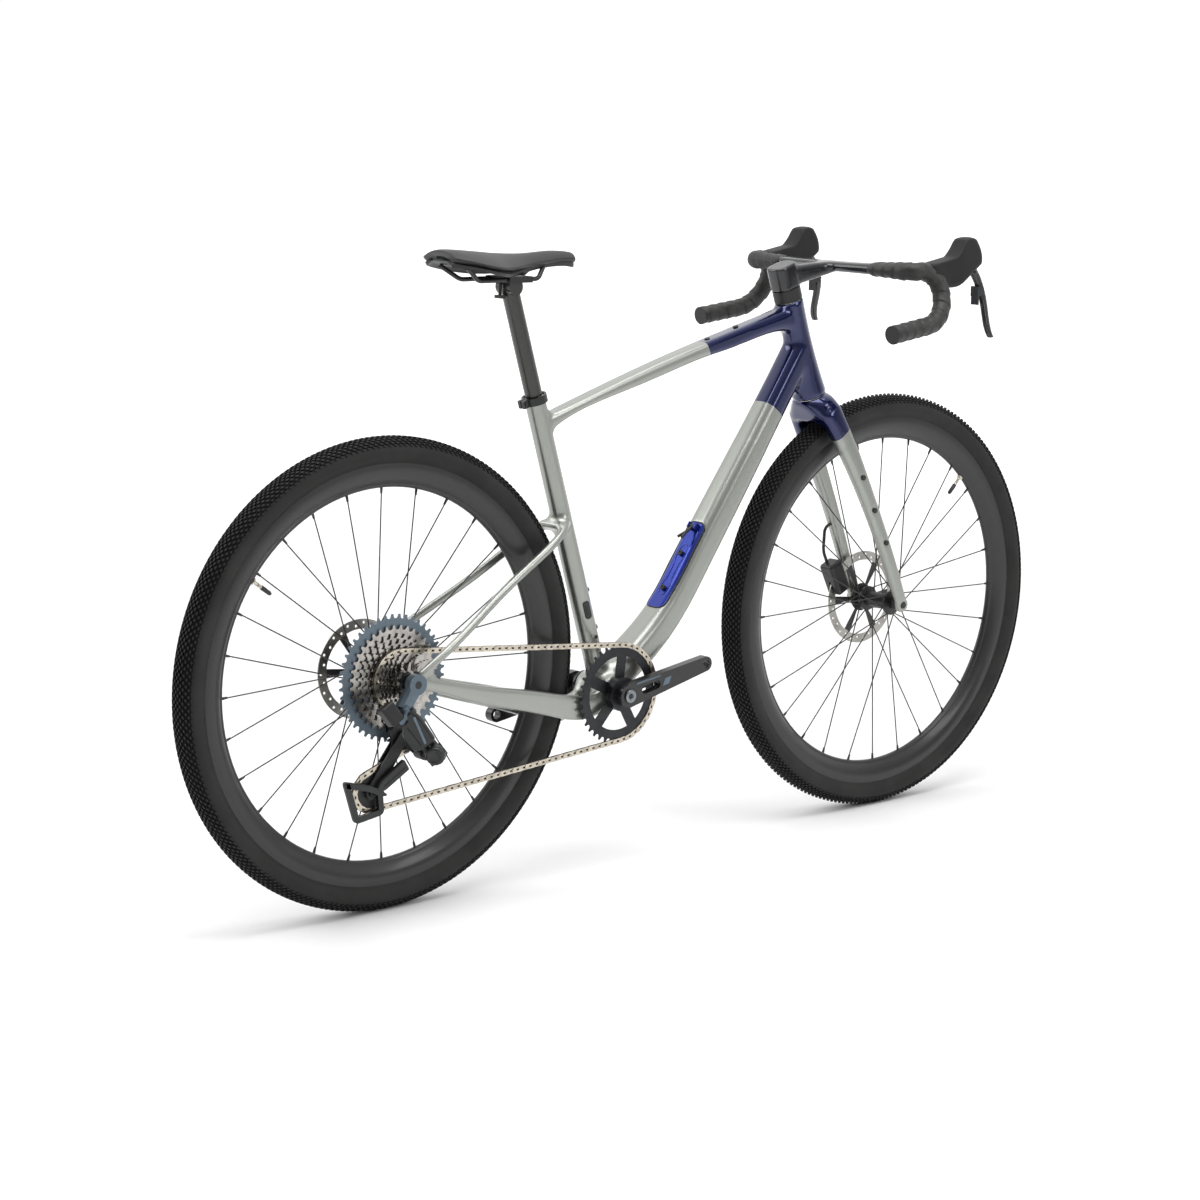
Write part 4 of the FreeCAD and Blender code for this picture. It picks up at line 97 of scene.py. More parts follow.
class TyreSettings(bpy.types.PropertyGroup):
    """The tread on the two tyres."""

    radius: FloatProperty(
        name="Radius", description="Wheel radius over the tread",
        subtype="DISTANCE", unit="LENGTH", default=356 * MM)
    repeats: IntProperty(
        name="Repeats", description="Tread blocks in one row round the tyre", default=224, min=60, max=600)
    block_height: FloatProperty(
        name="Block height", description="Height of a tread block in the middle",
        subtype="DISTANCE", unit="LENGTH", default=3.0 * MM)


class StageSettings(bpy.types.PropertyGroup):
    """Where the camera stands."""

    azimuth: FloatProperty(
        name="Azimuth", description="Camera's angle round the bike", default=-40.71)
    elevation: FloatProperty(
        name="Elevation", description="Camera's angle above the floor", default=10.27)
    roll: FloatProperty(name="Roll", description="Tilt of the picture", default=0.83)
    distance: FloatProperty(
        name="Distance", description="From the camera to its target",
        subtype="DISTANCE", unit="LENGTH", default=4426.4 * MM)
    lens: FloatProperty(name="Lens", description="Focal length in millimetres", default=84.41)


class Value:
    """A socket of a finish; its operators add Math nodes."""

    def __init__(self, finish, socket):
        self.finish = finish
        self.socket = socket

    def math(self, operation, *others):
        """A Math node on this value and the others."""
        inputs = {0: self}
        inputs.update(enumerate(others, 1))
        return self.finish.node("ShaderNodeMath", {"operation": operation}, inputs)

    def __add__(self, other):
        return self.math("ADD", other)

    def __sub__(self, other):
        return self.math("SUBTRACT", other)

    def __mul__(self, other):
        return self.math("MULTIPLY", other)

    def __rsub__(self, other):
        return self.finish.node("ShaderNodeMath", {"operation": "SUBTRACT"}, {0: other, 1: self})

    __radd__ = __add__
    __rmul__ = __mul__

    def smooth(self, low=0.3, high=0.7):
        """Nought below low, one above high, and a soft step between."""
        return self.finish.node("ShaderNodeMapRange", {"interpolation_type": "SMOOTHSTEP"},
                                {"Value": self, "From Min": low, "From Max": high})


class Nodes:
    """A node tree, and the sockets its expressions join."""

    def __init__(self, tree):
        self.tree = tree
        self.tree.nodes.clear()

    def node(self, kind, settings=None, inputs=None, output=0):
        """Add a node: its settings first, then values or links on its sockets.

        Gives one of the node's outputs, or the node itself where it has none.
        """
        made = self.tree.nodes.new(kind)
        for name, value in (settings or {}).items():
            setattr(made, name, value)
        for name, value in (inputs or {}).items():
            self.feed(made.inputs[name], value)
        return Value(self, made.outputs[output]) if made.outputs else made

    def feed(self, socket, value):
        """Link a value to a socket, or set it there."""
        if isinstance(value, Value):
            self.tree.links.new(value.socket, socket)
        else:
            socket.default_value = value

    def noise(self, scale, detail):
        """Soft random values between nought and one."""
        return self.node("ShaderNodeTexNoise", None,
                         {"Vector": self.place, "Scale": scale, "Detail": detail})

    def pits(self, scale):
        """Small round pits, close together."""
        return self.node("ShaderNodeTexVoronoi", {"feature": "SMOOTH_F1"},
                         {"Vector": self.place, "Scale": scale}, "Distance")

    def rings(self, centre):
        """Distance from a point, and fine turned lines round it."""
        reach = self.node("ShaderNodeVectorMath", {"operation": "DISTANCE"},
                          {0: self.place, 1: centre}, "Value")
        return reach, (reach * SCALES["turned"]).math("SINE") * 0.5 + 0.5

    def along(self, direction, origin=(0, 0, 0)):
        """Distance of the surface point from a plane through origin."""
        offset = Vector(direction).dot(Vector(origin))
        reach = self.node("ShaderNodeVectorMath", {"operation": "DOT_PRODUCT"},
                          {0: self.place, 1: Vector(direction)}, "Value")
        return reach - offset

    def past(self, direction, origin):
        """A mask with a sharp edge: one past a plane through origin."""
        return self.along(direction, origin).smooth(-PAINT_EDGE, PAINT_EDGE)

    def mix(self, mask, one, two):
        """One colour where the mask is nought, the other where it is one."""
        return self.node("ShaderNodeMix", {"data_type": "RGBA"}, {0: mask, 6: one, 7: two}, 2)

    def shades(self, mask, colour, dark, pale):
        """A colour from a darker share of itself to a paler one."""
        return self.mix(mask, rgba(shaded(colour, dark)), rgba(shaded(colour, pale)))

    def bump(self, height, strength, distance):
        """A normal roughened by a height in units of distance."""
        return self.node("ShaderNodeBump", None,
                         {"Strength": strength, "Distance": distance, "Height": height}, "Normal")


class Finish(Nodes):
    """A material with one surface shader."""

    def __init__(self, name):
        self.material = bpy.data.materials.new(name)
        self.material.use_nodes = True
        super().__init__(self.material.node_tree)
        shader = self.node("ShaderNodeBsdfPrincipled")
        self.node("ShaderNodeOutputMaterial", inputs={"Surface": shader})
        self.shader = shader.socket.node
        self.place = self.node("ShaderNodeTexCoord", output="Object")

    def surface(self, **sockets):
        """Feed the shader's sockets by their short names."""
        for name, value in sockets.items():
            self.feed(self.shader.inputs[SOCKETS[name]], value)
        return self.material


SOCKETS = {
    "colour": "Base Color", "metallic": "Metallic", "roughness": "Roughness", "normal": "Normal",
    "coat": "Coat Weight", "coat_roughness": "Coat Roughness", "specular": "Specular IOR Level",
    "emission": "Emission Color", "emission_strength": "Emission Strength",
}
# How fine the pattern of each finish is, per metre.
SCALES = {
    "flakes": 2600, "paint": 9, "moulded": 35, "fibres": 260, "lacquer": 14, "brushed": 420,
    "turned": 5200, "metal": 60, "cogs": 90, "chain": 120, "rubber": 1500, "dust": 18, "floor": 1.5,
}
PAINT_EDGE = 0.25 * MM
UPPER_FRAME = 0.74
CHAIN_PLANE = -43.5 * MM
NEAR_BLACK = (0.011, 0.011, 0.012)
# Grains of moulded finishes: how fine, and how deep.
FINE_GRAIN = (900, 0.02 * MM)
SATIN_GRAIN = (900, 0.05 * MM)
SOFT_GRAIN = (700, 0.05 * MM)
COVER_GRAIN = (700, 0.08 * MM)
PLASTIC_GRAIN = (700, 0.12 * MM)


def rgba(colour):
    """A colour with full opacity."""
    return (*colour, 1.0)


def shaded(colour, share):
    """A colour made darker or lighter by a share."""
    return tuple(min(1.0, part * share) for part in colour)


def flaked(finish, colour, dark, pale):
    """A colour with fine metal flakes in it."""
    return finish.shades(finish.noise(SCALES["flakes"], 1.0).smooth(0.35, 0.65), colour, dark, pale)


def paint(name, colour, metallic, roughness):
    """Metallic paint under a clear coat: fine flakes and a faint unevenness."""
    finish = Finish(name)
    cloud = finish.noise(SCALES["paint"], 2.0)
    return finish.surface(
        colour=flaked(finish, colour, 0.9, 1.12), metallic=metallic, roughness=roughness + cloud * 0.05,
        coat=0.55, coat_roughness=0.07)


def two_tone(name, colours, edge, second=None):
    """Silver paint that turns to blue past a plane, and past a second one in the frame's upper part."""
    finish = Finish(name)
    cloud = finish.noise(SCALES["paint"], 2.0)
    light = flaked(finish, colours.silver, 0.9, 1.12)
    deep = flaked(finish, colours.blue, 0.85, 1.2)
    mask = finish.past(*edge)
    if second:
        upper = finish.along(Z, Z * UPPER_FRAME).smooth(0, 1 * MM)
        mask = mask.math("MAXIMUM", finish.past(*second) * upper)
    return finish.surface(
        colour=finish.mix(mask, light, deep), metallic=0.82 - mask * 0.12,
        roughness=0.31 - mask * 0.12 + cloud * 0.05, coat=0.5 + mask * 0.5, coat_roughness=0.04)


def moulded(name, colour, roughness, grain, depth):
    """Moulded or coated black: a fine grain, and slightly uneven gloss."""
    finish = Finish(name)
    cloud = finish.noise(SCALES["moulded"], 2.0)
    return finish.surface(
        colour=finish.shades(cloud.smooth(), colour, 0.85, 1.2), roughness=roughness - 0.05 + cloud * 0.1,
        normal=finish.bump(finish.noise(grain, 2.0), 0.35, depth))


def carbon(name, colour, roughness, coat):
    """Black carbon under lacquer, its short fibres just showing."""
    finish = Finish(name)
    fibre = finish.node("ShaderNodeTexWave", {"bands_direction": "DIAGONAL"}, {
        "Vector": finish.place, "Scale": SCALES["fibres"], "Distortion": 14, "Detail": 2})
    cloud = finish.noise(SCALES["lacquer"], 2.0)
    return finish.surface(
        colour=finish.shades(fibre, colour, 0.8, 1.35), roughness=roughness + cloud * 0.08, coat=coat,
        coat_roughness=0.12)


def machined(name, colour, roughness, centre=None):
    """Bare or anodised metal with brushed lines, or with turned ones round a centre."""
    finish = Finish(name)
    lines = finish.noise(SCALES["brushed"], 3.0) if centre is None else finish.rings(centre)[1]
    cloud = finish.noise(SCALES["metal"], 3.0)
    return finish.surface(
        colour=finish.shades(cloud.smooth(), colour, 0.88, 1.1), metallic=1.0,
        roughness=roughness + lines * 0.06 + cloud * 0.08, normal=finish.bump(lines, 0.08, 0.05 * MM))


def cog_finish(name, steel, anodised, edge):
    """Bright steel cogs, with the largest one anodised: it lies inside a plane."""
    finish = Finish(name)
    inner = finish.along(Y, Y * edge).smooth(-0.1 * MM, 0.1 * MM)
    cloud = finish.noise(SCALES["cogs"], 3.0)
    bright = finish.shades(cloud.smooth(), steel, 0.75, 1.2)
    return finish.surface(
        colour=finish.mix(inner, bright, rgba(anodised)), metallic=1.0 - inner * 0.3,
        roughness=0.18 + cloud * 0.12 + inner * 0.18)


def rotor_finish(name, centre, reach):
    """A brake rotor: bright rubbed track outside a radius, dark carrier inside it."""
    finish = Finish(name)
    ring, lines = finish.rings(centre)
    track = (ring - reach).smooth(0, 0.6 * MM)
    return finish.surface(
        colour=finish.mix(track, (0.022, 0.022, 0.023, 1), (0.43, 0.42, 0.39, 1)), metallic=track,
        roughness=0.36 - track * 0.06 + lines * 0.05)


def chain_finish(name, colour):
    """Polished plates, and the chain's middle between them much darker than the plates."""
    finish = Finish(name)
    cloud = finish.noise(SCALES["chain"], 2.0)
    plate = finish.along(Y, Y * CHAIN_PLANE).math("ABSOLUTE").smooth(1.3 * MM, 1.7 * MM)
    bright = finish.shades(cloud.smooth(), colour, 0.8, 1.15)
    return finish.surface(
        colour=finish.mix(plate, rgba(shaded(colour, 0.14)), bright), metallic=1.0,
        roughness=0.5 - plate * 0.3 + cloud * 0.1)


def rubber(name, colour, roughness):
    """Tyre and hood rubber: dull, with a fine grain and a little dust."""
    finish = Finish(name)
    cloud = finish.noise(SCALES["dust"], 4.0)
    return finish.surface(
        colour=finish.shades(cloud.smooth(0.35), colour, 0.85, 1.25), roughness=roughness + cloud * 0.08,
        specular=0.28, normal=finish.bump(finish.noise(SCALES["rubber"], 2.0), 0.3, 0.15 * MM))


def pitted(name, tones, scale, clouds, high, swing, strength, depth):
    """Bar tape or grained synthetic leather: fine pits, and gloss that swings a little."""
    finish = Finish(name)
    cloud = finish.noise(clouds, 3.0)
    dark, pale = tones
    return finish.surface(
        colour=finish.mix(cloud.smooth(high=high), rgba(dark), rgba(pale)), roughness=0.42 + cloud * swing,
        normal=finish.bump(finish.pits(scale), strength, depth))


def dress(material, *nodes):
    """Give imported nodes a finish."""
    for name in nodes:
        for slot in frame["nodes"][name].material_slots:
            slot.material = material


def linked(name, data):
    """A new object in the scene."""
    made = bpy.data.objects.new(name, data)
    bpy.context.scene.collection.objects.link(made)
    return made


def settle(made, material, body, nodes=()):
    """Give a piece its finish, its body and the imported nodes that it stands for."""
    made.data.materials.append(material)
    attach(made, body)
    if nodes:
        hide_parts(*nodes)
    return made


def piece(name, shape, material, body, smooth=True, nodes=()):
    """A new mesh piece, from points and faces, that rides on a body."""
    points, faces = shape
    mesh = bpy.data.meshes.new(name)
    mesh.from_pydata([tuple(point) for point in points], [], faces)
    mesh.polygons.foreach_set("use_smooth", [smooth] * len(faces))
    mesh.update()
    return settle(linked(name, mesh), material, body, nodes)


def strip(rings, count, inward=False, closed=False):
    """Faces between neighbouring rings of points, and from the last ring to the first if they close."""
    faces = []
    for ring in range(rings if closed else rings - 1):
        here, there = ring * count, (ring + 1) % rings * count
        for k in range(count):
            after = (k + 1) % count
            if inward:
                faces.append((here + k, there + k, there + after, here + after))
            else:
                faces.append((here + k, here + after, there + after, there + k))
    return faces


def caps(rings, count, inward=False):
    """Faces over the first and the last ring."""
    first, last = range(count), range((rings - 1) * count, rings * count)
    if inward:
        return [tuple(first), tuple(reversed(last))]
    return [tuple(reversed(first)), tuple(last)]


def welded(node):
    """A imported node's mesh with its seams closed."""
    shell = bmesh.new()
    shell.from_mesh(frame["nodes"][node].data)
    bmesh.ops.remove_doubles(shell, verts=shell.verts, dist=SEAM)
    return shell


def outer_wall(node):
    """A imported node's outside as a closed mesh: a hollow tube loses the walls that face each other."""
    shell = welded(node)
    if node in HOLLOW:
        shell.faces.ensure_lookup_table()
        tree = BVHTree.FromBMesh(shell)
        inner = []
        for face in shell.faces:
            start = face.calc_center_median() + face.normal * RAY_START
            if tree.ray_cast(start, face.normal, HOLLOW_REACH)[0]:
                inner.append(face)
        bmesh.ops.delete(shell, geom=inner, context="FACES")
        bmesh.ops.holes_fill(shell, edges=[edge for edge in shell.edges if edge.is_boundary])
    return shell


def blended_skin(name, nodes, material, body, grain, fillet, rounds):
    """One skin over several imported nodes, with a fillet where they meet, in millimetres."""
    whole = bmesh.new()
    for node in nodes:
        shell = outer_wall(node)
        part = bpy.data.meshes.new("part")
        shell.to_mesh(part)
        shell.free()
        whole.from_mesh(part)
        bpy.data.meshes.remove(part)
    rough = bpy.data.meshes.new(name)
    whole.to_mesh(rough)
    whole.free()
    made = linked(name, rough)
    for step in (fillet, -fillet, 0):
        merge = made.modifiers.new("merge", "REMESH")
        merge.mode = "VOXEL"
        merge.voxel_size = grain * MM
        if step:
            swell = made.modifiers.new("swell", "DISPLACE")
            swell.mid_level = 0
            swell.strength = step * MM
    ease = made.modifiers.new("ease", "SMOOTH")
    ease.iterations = rounds
    graph = bpy.context.evaluated_depsgraph_get()
    skin = bpy.data.meshes.new_from_object(made.evaluated_get(graph))
    skin.name = name
    made.modifiers.clear()
    made.data = skin
    bpy.data.meshes.remove(rough)
    skin.polygons.foreach_set("use_smooth", [True] * len(skin.polygons))
    return settle(made, material, body, nodes)


def calm(made, centre, reach, rounds):
    """Smooth a skin round one crowded place."""
    shell = bmesh.new()
    shell.from_mesh(made.data)
    near = [vert for vert in shell.verts if (vert.co - centre).length < reach * MM]
    axes = {"use_axis_x": True, "use_axis_y": True, "use_axis_z": True}
    for step in range(rounds):
        bmesh.ops.smooth_vert(shell, verts=near, factor=0.5, **axes)
    shell.to_mesh(made.data)
    shell.free()


HOLLOW = ("head_tube", "top_tube", "down_tube", "seat_tube", "bottom_bracket_shell")
HOLLOW_REACH = 60 * MM
SEAM = 0.01 * MM
RAY_START = 0.05 * MM
FRAME_TUBES = HOLLOW + ("right_chainstay", "left_chainstay", "seatstays")
# Planes past which the paint is blue: the way each one faces, and a point on it.
HEAD_EDGE = ((0.62, 0, 0.78), (0.259, 0, 0.698))
TOP_EDGE = ((1, 0, 0.45), (0.100, 0, 0.82))
CROWN_EDGE = ((-0.575, 0, 0.818), (0.400, 0, 0.670))
HATCH_TINT = 4.2
# Crowded places of the frame and the fork.
TUBE_MEETING = STEER_FOOT + Vector((-0.09, 0, 0.03))
CROWN = STEER_FOOT + Vector((0.03, 0, -0.035))


class BikeOperator(bpy.types.Operator):
    """What the bike's operators share."""

    bl_options = {"REGISTER", "UNDO"}


class BIKE_OT_paint_frame(BikeOperator):
    """Paint the frame, fork and storage hatch."""

    bl_idname = "bike.paint_frame"
    bl_label = "Paint frame"

    def execute(self, context):
        colours = context.scene.bike_paint
        dress(paint("hatch_blue", shaded(colours.blue, HATCH_TINT), 0.72, 0.2), "storage_hatch")
        frame_paint = two_tone("frame_paint", colours, HEAD_EDGE, TOP_EDGE)
        skin = blended_skin("frame_skin", FRAME_TUBES, frame_paint, "frame",
                            grain=2.4, fillet=9, rounds=5)
        calm(skin, BRACKET, reach=78, rounds=26)
        calm(skin, TUBE_MEETING, reach=110, rounds=6)
        sink_pocket(skin)
        fork_paint = two_tone("fork_paint", colours, CROWN_EDGE)
        fork = blended_skin("fork_skin", ("fork",), fork_paint, "steering",
                            grain=2.2, fillet=8, rounds=5)
        calm(fork, CROWN, reach=75, rounds=16)
        return {"FINISHED"}


class BIKE_OT_finish_metal(BikeOperator):
    """Finish the drivetrain, brakes and wheels."""

    bl_idname = "bike.finish_metal"
    bl_label = "Finish metal and carbon"

    def execute(self, context):
        colours = context.scene.bike_paint
        dress(moulded("satin_black", NEAR_BLACK, 0.34, *SATIN_GRAIN), "seat_clamp", "rear_axle",
              "front_axle", "rear_caliper", "front_caliper", "frame_bolts", "fork_bolts", "saddle_clamp",
              "saddle_rails", "front_hub", "rear_hub", "freehub", "bottom_bracket_bearings")
        dress(moulded("black_plastic", NEAR_BLACK, 0.46, *PLASTIC_GRAIN), "derailleur_battery",
              "derailleur_outer_link", "derailleur_inner_link", "derailleur_knuckle", "derailleur_cage",
              "upper_pulley", "lower_pulley", "headset_spacers", "saddle_shell", "hatch_latch",
              "front_brake_hose", "bar_end_plugs")
        dress(carbon("crank_carbon", (0.006, 0.006, 0.007), 0.3, 0.25), "right_crank", "left_crank")
        dress(carbon("post_carbon", (0.020, 0.019, 0.017), 0.24, 0.5), "seatpost")
        dress(carbon("rim_carbon", (0.012, 0.012, 0.012), 0.33, 0.2), "front_rim", "rear_rim")
        dress(moulded("coated_spokes", (0.02, 0.02, 0.02), 0.35, *FINE_GRAIN), "front_spokes",
              "rear_spokes")
        dress(machined("grey_blue", colours.grey_blue, 0.36), "derailleur_mount")
        dress(moulded("paddle_grey", (0.02, 0.022, 0.025), 0.26, *FINE_GRAIN), "right_shift_paddle",
              "left_shift_paddle")
        large_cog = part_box("cassette")[1][1] - 2.6 * MM
        dress(cog_finish("cog_steel", (0.40, 0.38, 0.36), colours.grey_blue, large_cog), "cassette")
        for end, hub in HUBS:
            low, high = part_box(f"{end}_rotor")
            centre = Vector((hub.x, (low[1] + high[1]) / 2, hub.z))
            carrier = (high[0] - low[0]) / 2 - 16 * MM
            dress(rotor_finish(f"{end}_rotor_steel", centre, carrier), f"{end}_rotor")
        dress(machined("bearing_steel", (0.42, 0.41, 0.385), 0.28), "headset_bearings")
        dress(chain_finish("chain_steel", (0.54, 0.49, 0.41)), "chain")
        dress(machined("ring_alloy", (0.05, 0.051, 0.055), 0.38, BRACKET), "chainring")
        return {"FINISHED"}


def smooth_line(stations, count):
    """Points on a smooth curve through pairs of numbers, the ends kept."""
    rows = [stations[0]] + list(stations) + [stations[-1]]
    spans = len(stations) - 1
    points = []
    for step in range(count + 1):
        place = step / count * spans
        span = min(int(place), spans - 1)
        t = place - span
        a, b, c, d = rows[span:span + 4]
        points.append(tuple(
            b[k] + 0.5 * t * (c[k] - a[k] + t * (2 * a[k] - 5 * b[k] + 4 * c[k] - d[k]
                              + t * (3 * (b[k] - c[k]) + d[k] - a[k])))
            for k in range(len(b))))
    return points


# Half of the tyre's section without blocks: distance from the middle plane and from the tread line.
TYRE_SECTION = (
    (0.0, 3.0), (6.0, 3.2), (12.0, 4.7), (17.0, 8.0), (20.6, 12.6), (22.9, 17.5), (23.4, 22.5),
    (22.4, 28.0), (20.0, 33.0), (17.2, 36.6), (15.3, 38.6), (13.4, 41.2),
)
# Rows of blocks: place across, half length, half width, height as a share.
TREAD_ROWS = (
    (0.0, 3.9, 2.0, 1.0), (4.3, 3.9, 2.0, 1.0), (8.6, 3.9, 2.0, 1.0), (12.8, 3.8, 1.95, 0.97),
    (16.8, 3.7, 1.85, 0.92), (20.6, 3.6, 1.75, 0.85), (24.2, 3.6, 1.7, 0.7),
)
BLOCK_OUTLINE = ((1.0, 0.0), (0.42, 0.95), (-0.42, 0.95), (-1.0, 0.0), (-0.42, -0.95), (0.42, -0.95))
BLOCK_SINK = -0.3
BLOCK_TOP = 0.74
SECTION_STEPS = 60


class TyreSkin:
    """The surface of a tyre, by place across and angle round."""

    def __init__(self, centre, radius):
        self.centre = centre
        self.radius = radius
        self.half = smooth_line(TYRE_SECTION, SECTION_STEPS)
        self.reach = [0.0]
        for one, two in zip(self.half[:-1], self.half[1:]):
            self.reach.append(self.reach[-1] + math.hypot(two[0] - one[0], two[1] - one[1]))

    def section(self, across):
        """Half width, drop and outward slope at a distance along the skin, in millimetres."""
        want = abs(across)
        k = 1
        while k < len(self.reach) - 1 and self.reach[k] < want:
            k += 1
        span = self.reach[k] - self.reach[k - 1]
        t = (want - self.reach[k - 1]) / span
        one, two = self.half[k - 1], self.half[k]
        wide = one[0] + (two[0] - one[0]) * t
        drop = one[1] + (two[1] - one[1]) * t
        slope = ((two[1] - one[1]) / span, (two[0] - one[0]) / span)
        side = -1 if across < 0 else 1
        return wide * side, drop, slope[0] * side, slope[1]

    def point(self, across, angle, lift=0.0):
        """A point of the skin, lifted off it by some millimetres."""
        wide, drop, lean, rise = self.section(across)
        y = wide + lean * lift
        radius = self.radius - (drop - rise * lift) * MM
        return self.centre + Vector((radius * math.cos(angle), y * MM, radius * math.sin(angle)))


def tyre_mesh(skin, repeats, height):
    """Points and faces of carcass and blocks, and each face's smooth flag and tone: 1, painted shade, on
    the carcass between the blocks and on the blocks' sides.
    """
    points, faces, smooth, tones = [], [], [], []
    whole = skin.reach[-1]
    rings, across, corners = 240, 48, len(BLOCK_OUTLINE)
    for ring in range(rings):
        angle = 2 * math.pi * ring / rings
        for step in range(across + 1):
            points.append(skin.point(whole * (2 * step / across - 1), angle))
    for ring in range(rings):
        here, there = ring * (across + 1), (ring + 1) % rings * (across + 1)
        for step in range(across):
            faces.append((here + step, there + step, there + step + 1, here + step + 1))
            smooth.append(True)
            middle = whole * ((2 * step + 1) / across - 1)
            # Painted shade on the carcass across the tread band, between the blocks.
            tones.append(1 if abs(middle) < TREAD_ROWS[-1][0] else 0)
    turn = 2 * math.pi / repeats
    for number, (place, half_length, half_width, share) in enumerate(TREAD_ROWS):
        for side in ((1,) if number == 0 else (-1, 1)):
            for repeat in range(repeats):
                middle = turn * (repeat + (number % 2) / 2)
                start = len(points)
                for lift, grow in ((BLOCK_SINK, 1.0), (height / MM * share, BLOCK_TOP)):
                    for along, aside in BLOCK_OUTLINE:
                        angle = middle + along * half_length * grow * MM / skin.radius
                        points.append(skin.point(side * (place + aside * half_width * grow), angle, lift))
                block = strip(2, corners) + caps(2, corners)[1:]
                faces.extend(tuple(start + corner for corner in face) for face in block)
                smooth.extend([False] * len(block))
                # Painted shade on each block's sides; its top keeps the plain tyre rubber.
                tones.extend([1] * corners + [0])
    return points, faces, smooth, tones


class BIKE_OT_make_tyres(BikeOperator):
    """Make both tyres with their small-block tread."""

    bl_idname = "bike.make_tyres"
    bl_label = "Make tyres"

    def execute(self, context):
        settings = context.scene.bike_tyres
        material = rubber("tyre_rubber", (0.019, 0.019, 0.0185), 0.6)
        # Painted shade: near-black rubber on the carcass between the blocks and on the blocks' sides.
        gap_shade = rubber("tread_gap_painted_shade", (0.004, 0.004, 0.004), 0.75)
        for end, hub in HUBS:
            skin = TyreSkin(hub, settings.radius)
            points, faces, smooth, tones = tyre_mesh(skin, settings.repeats, settings.block_height)
            made = piece(f"{end}_tread", (points, faces), material, f"{end}_wheel",
                         nodes=(f"{end}_tyre",))
            made.data.materials.append(gap_shade)
            made.data.polygons.foreach_set("use_smooth", smooth)
            made.data.polygons.foreach_set("material_index", tones)
        return {"FINISHED"}


BAR_AT = STEER_FOOT + STEER_UP * (210 * MM) + Vector((104, 0, 15)) * MM
BAR = {"half_top": 166, "bend": 22, "hook": 33, "drop": 58, "tail": 82, "flare": 20.9, "tilt": 7.7,
       "radius": 12, "deep": 18, "tall": 8.5, "tape_start": 104, "tape": 3.2, "step": 1.4}


def bar_line(step):
    """Points down the right half of the bar from the tape's start, and how round it is at each."""
    flare = math.radians(BAR["flare"])
    down = Vector((0, -math.sin(flare), -math.cos(flare)))
    hook = BAR_AT / MM + Vector((BAR["bend"], -BAR["half_top"] - BAR["bend"], 0))
    turn = math.pi / 2 - math.radians(BAR["tilt"])
    line = []

    def add(length, place):
        count = max(2, round(length / step))
        for k in range(count):
            line.append(place(k / count))

    def top(t):
        out = BAR["tape_start"] + (BAR["half_top"] - BAR["tape_start"]) * t
        return BAR_AT / MM - Y * out, (out / BAR["half_top"]) ** 4

    def bend(t):
        angle = t * math.pi / 2
        back, out = -BAR["bend"] * math.cos(angle), BAR["bend"] * (1 - math.sin(angle))
        return hook + Vector((back, out, 0)), 1.0

    def front(t):
        angle = t * math.pi / 2
        ahead, below = BAR["hook"] * math.sin(angle), BAR["hook"] * (1 - math.cos(angle))
        return hook + X * ahead + down * below, 1.0

    def drop(t):
        back = BAR["hook"] - BAR["drop"] * (1 - math.cos(turn * t))
        return hook + X * back + down * (BAR["hook"] + BAR["drop"] * math.sin(turn * t)), 1.0

    tail_from = drop(1.0)[0]
    tail_way = -X * math.sin(turn) + down * math.cos(turn)

    add(BAR["half_top"] - BAR["tape_start"], top)
    add(BAR["bend"] * math.pi / 2, bend)
    add(BAR["hook"] * math.pi / 2, front)
    add(BAR["drop"] * turn, drop)
    add(BAR["tail"], lambda t: (tail_from + tail_way * (BAR["tail"] * t), 1.0))
    line.append((tail_from + tail_way * BAR["tail"], 1.0))
    return line


def tape_mesh(pitch, edge):
    """The right half's wrapped tape: each turn lies over the one before."""
    line = bar_line(BAR["step"])
    points = []
    sides = 40
    way = 0.0
    up = Z.copy()
    for k, (place, roundness) in enumerate(line):
        ahead = (line[min(k + 1, len(line) - 1)][0] - line[max(k - 1, 0)][0]).normalized()
        up = (up - ahead * up.dot(ahead)).normalized()
        across = ahead.cross(up)
        if k:
            way += (place - line[k - 1][0]).length
        deep = BAR["deep"] * (1 - roundness) + BAR["radius"] * roundness
        tall = BAR["tall"] * (1 - roundness) + BAR["radius"] * roundness
        ends = min(1.0, way / 4, (len(line) - 1 - k) / 2)
        for side in range(sides):
            angle = 2 * math.pi * side / sides
            phase = (way / pitch + side / sides) % 1.0
            lip = edge * min(phase * 1.15, (1 - phase) * 12, 1.0)
            thick = (BAR["tape"] - edge + lip) * (0.55 + 0.45 * ends)
            rise, reach = (tall + thick) * math.cos(angle), (deep + thick) * math.sin(angle)
            points.append((place + up * rise + across * reach) * MM)
    return points, strip(len(line), sides) + caps(len(line), sides, True)


def mirrored(shape):
    """The same mesh on the other side of the middle plane."""
    points, faces = shape
    return ([Vector((point.x, -point.y, point.z)) for point in points],
            [tuple(reversed(face)) for face in faces])


# A hood's upper end, down from its top: where it is measured, narrowed and flattened, and by which shares.
HORN = {"middle": 30, "from": 50, "over": 40, "flat": 9, "shorter": 0.24, "thinner": 0.08, "press": 0.45}


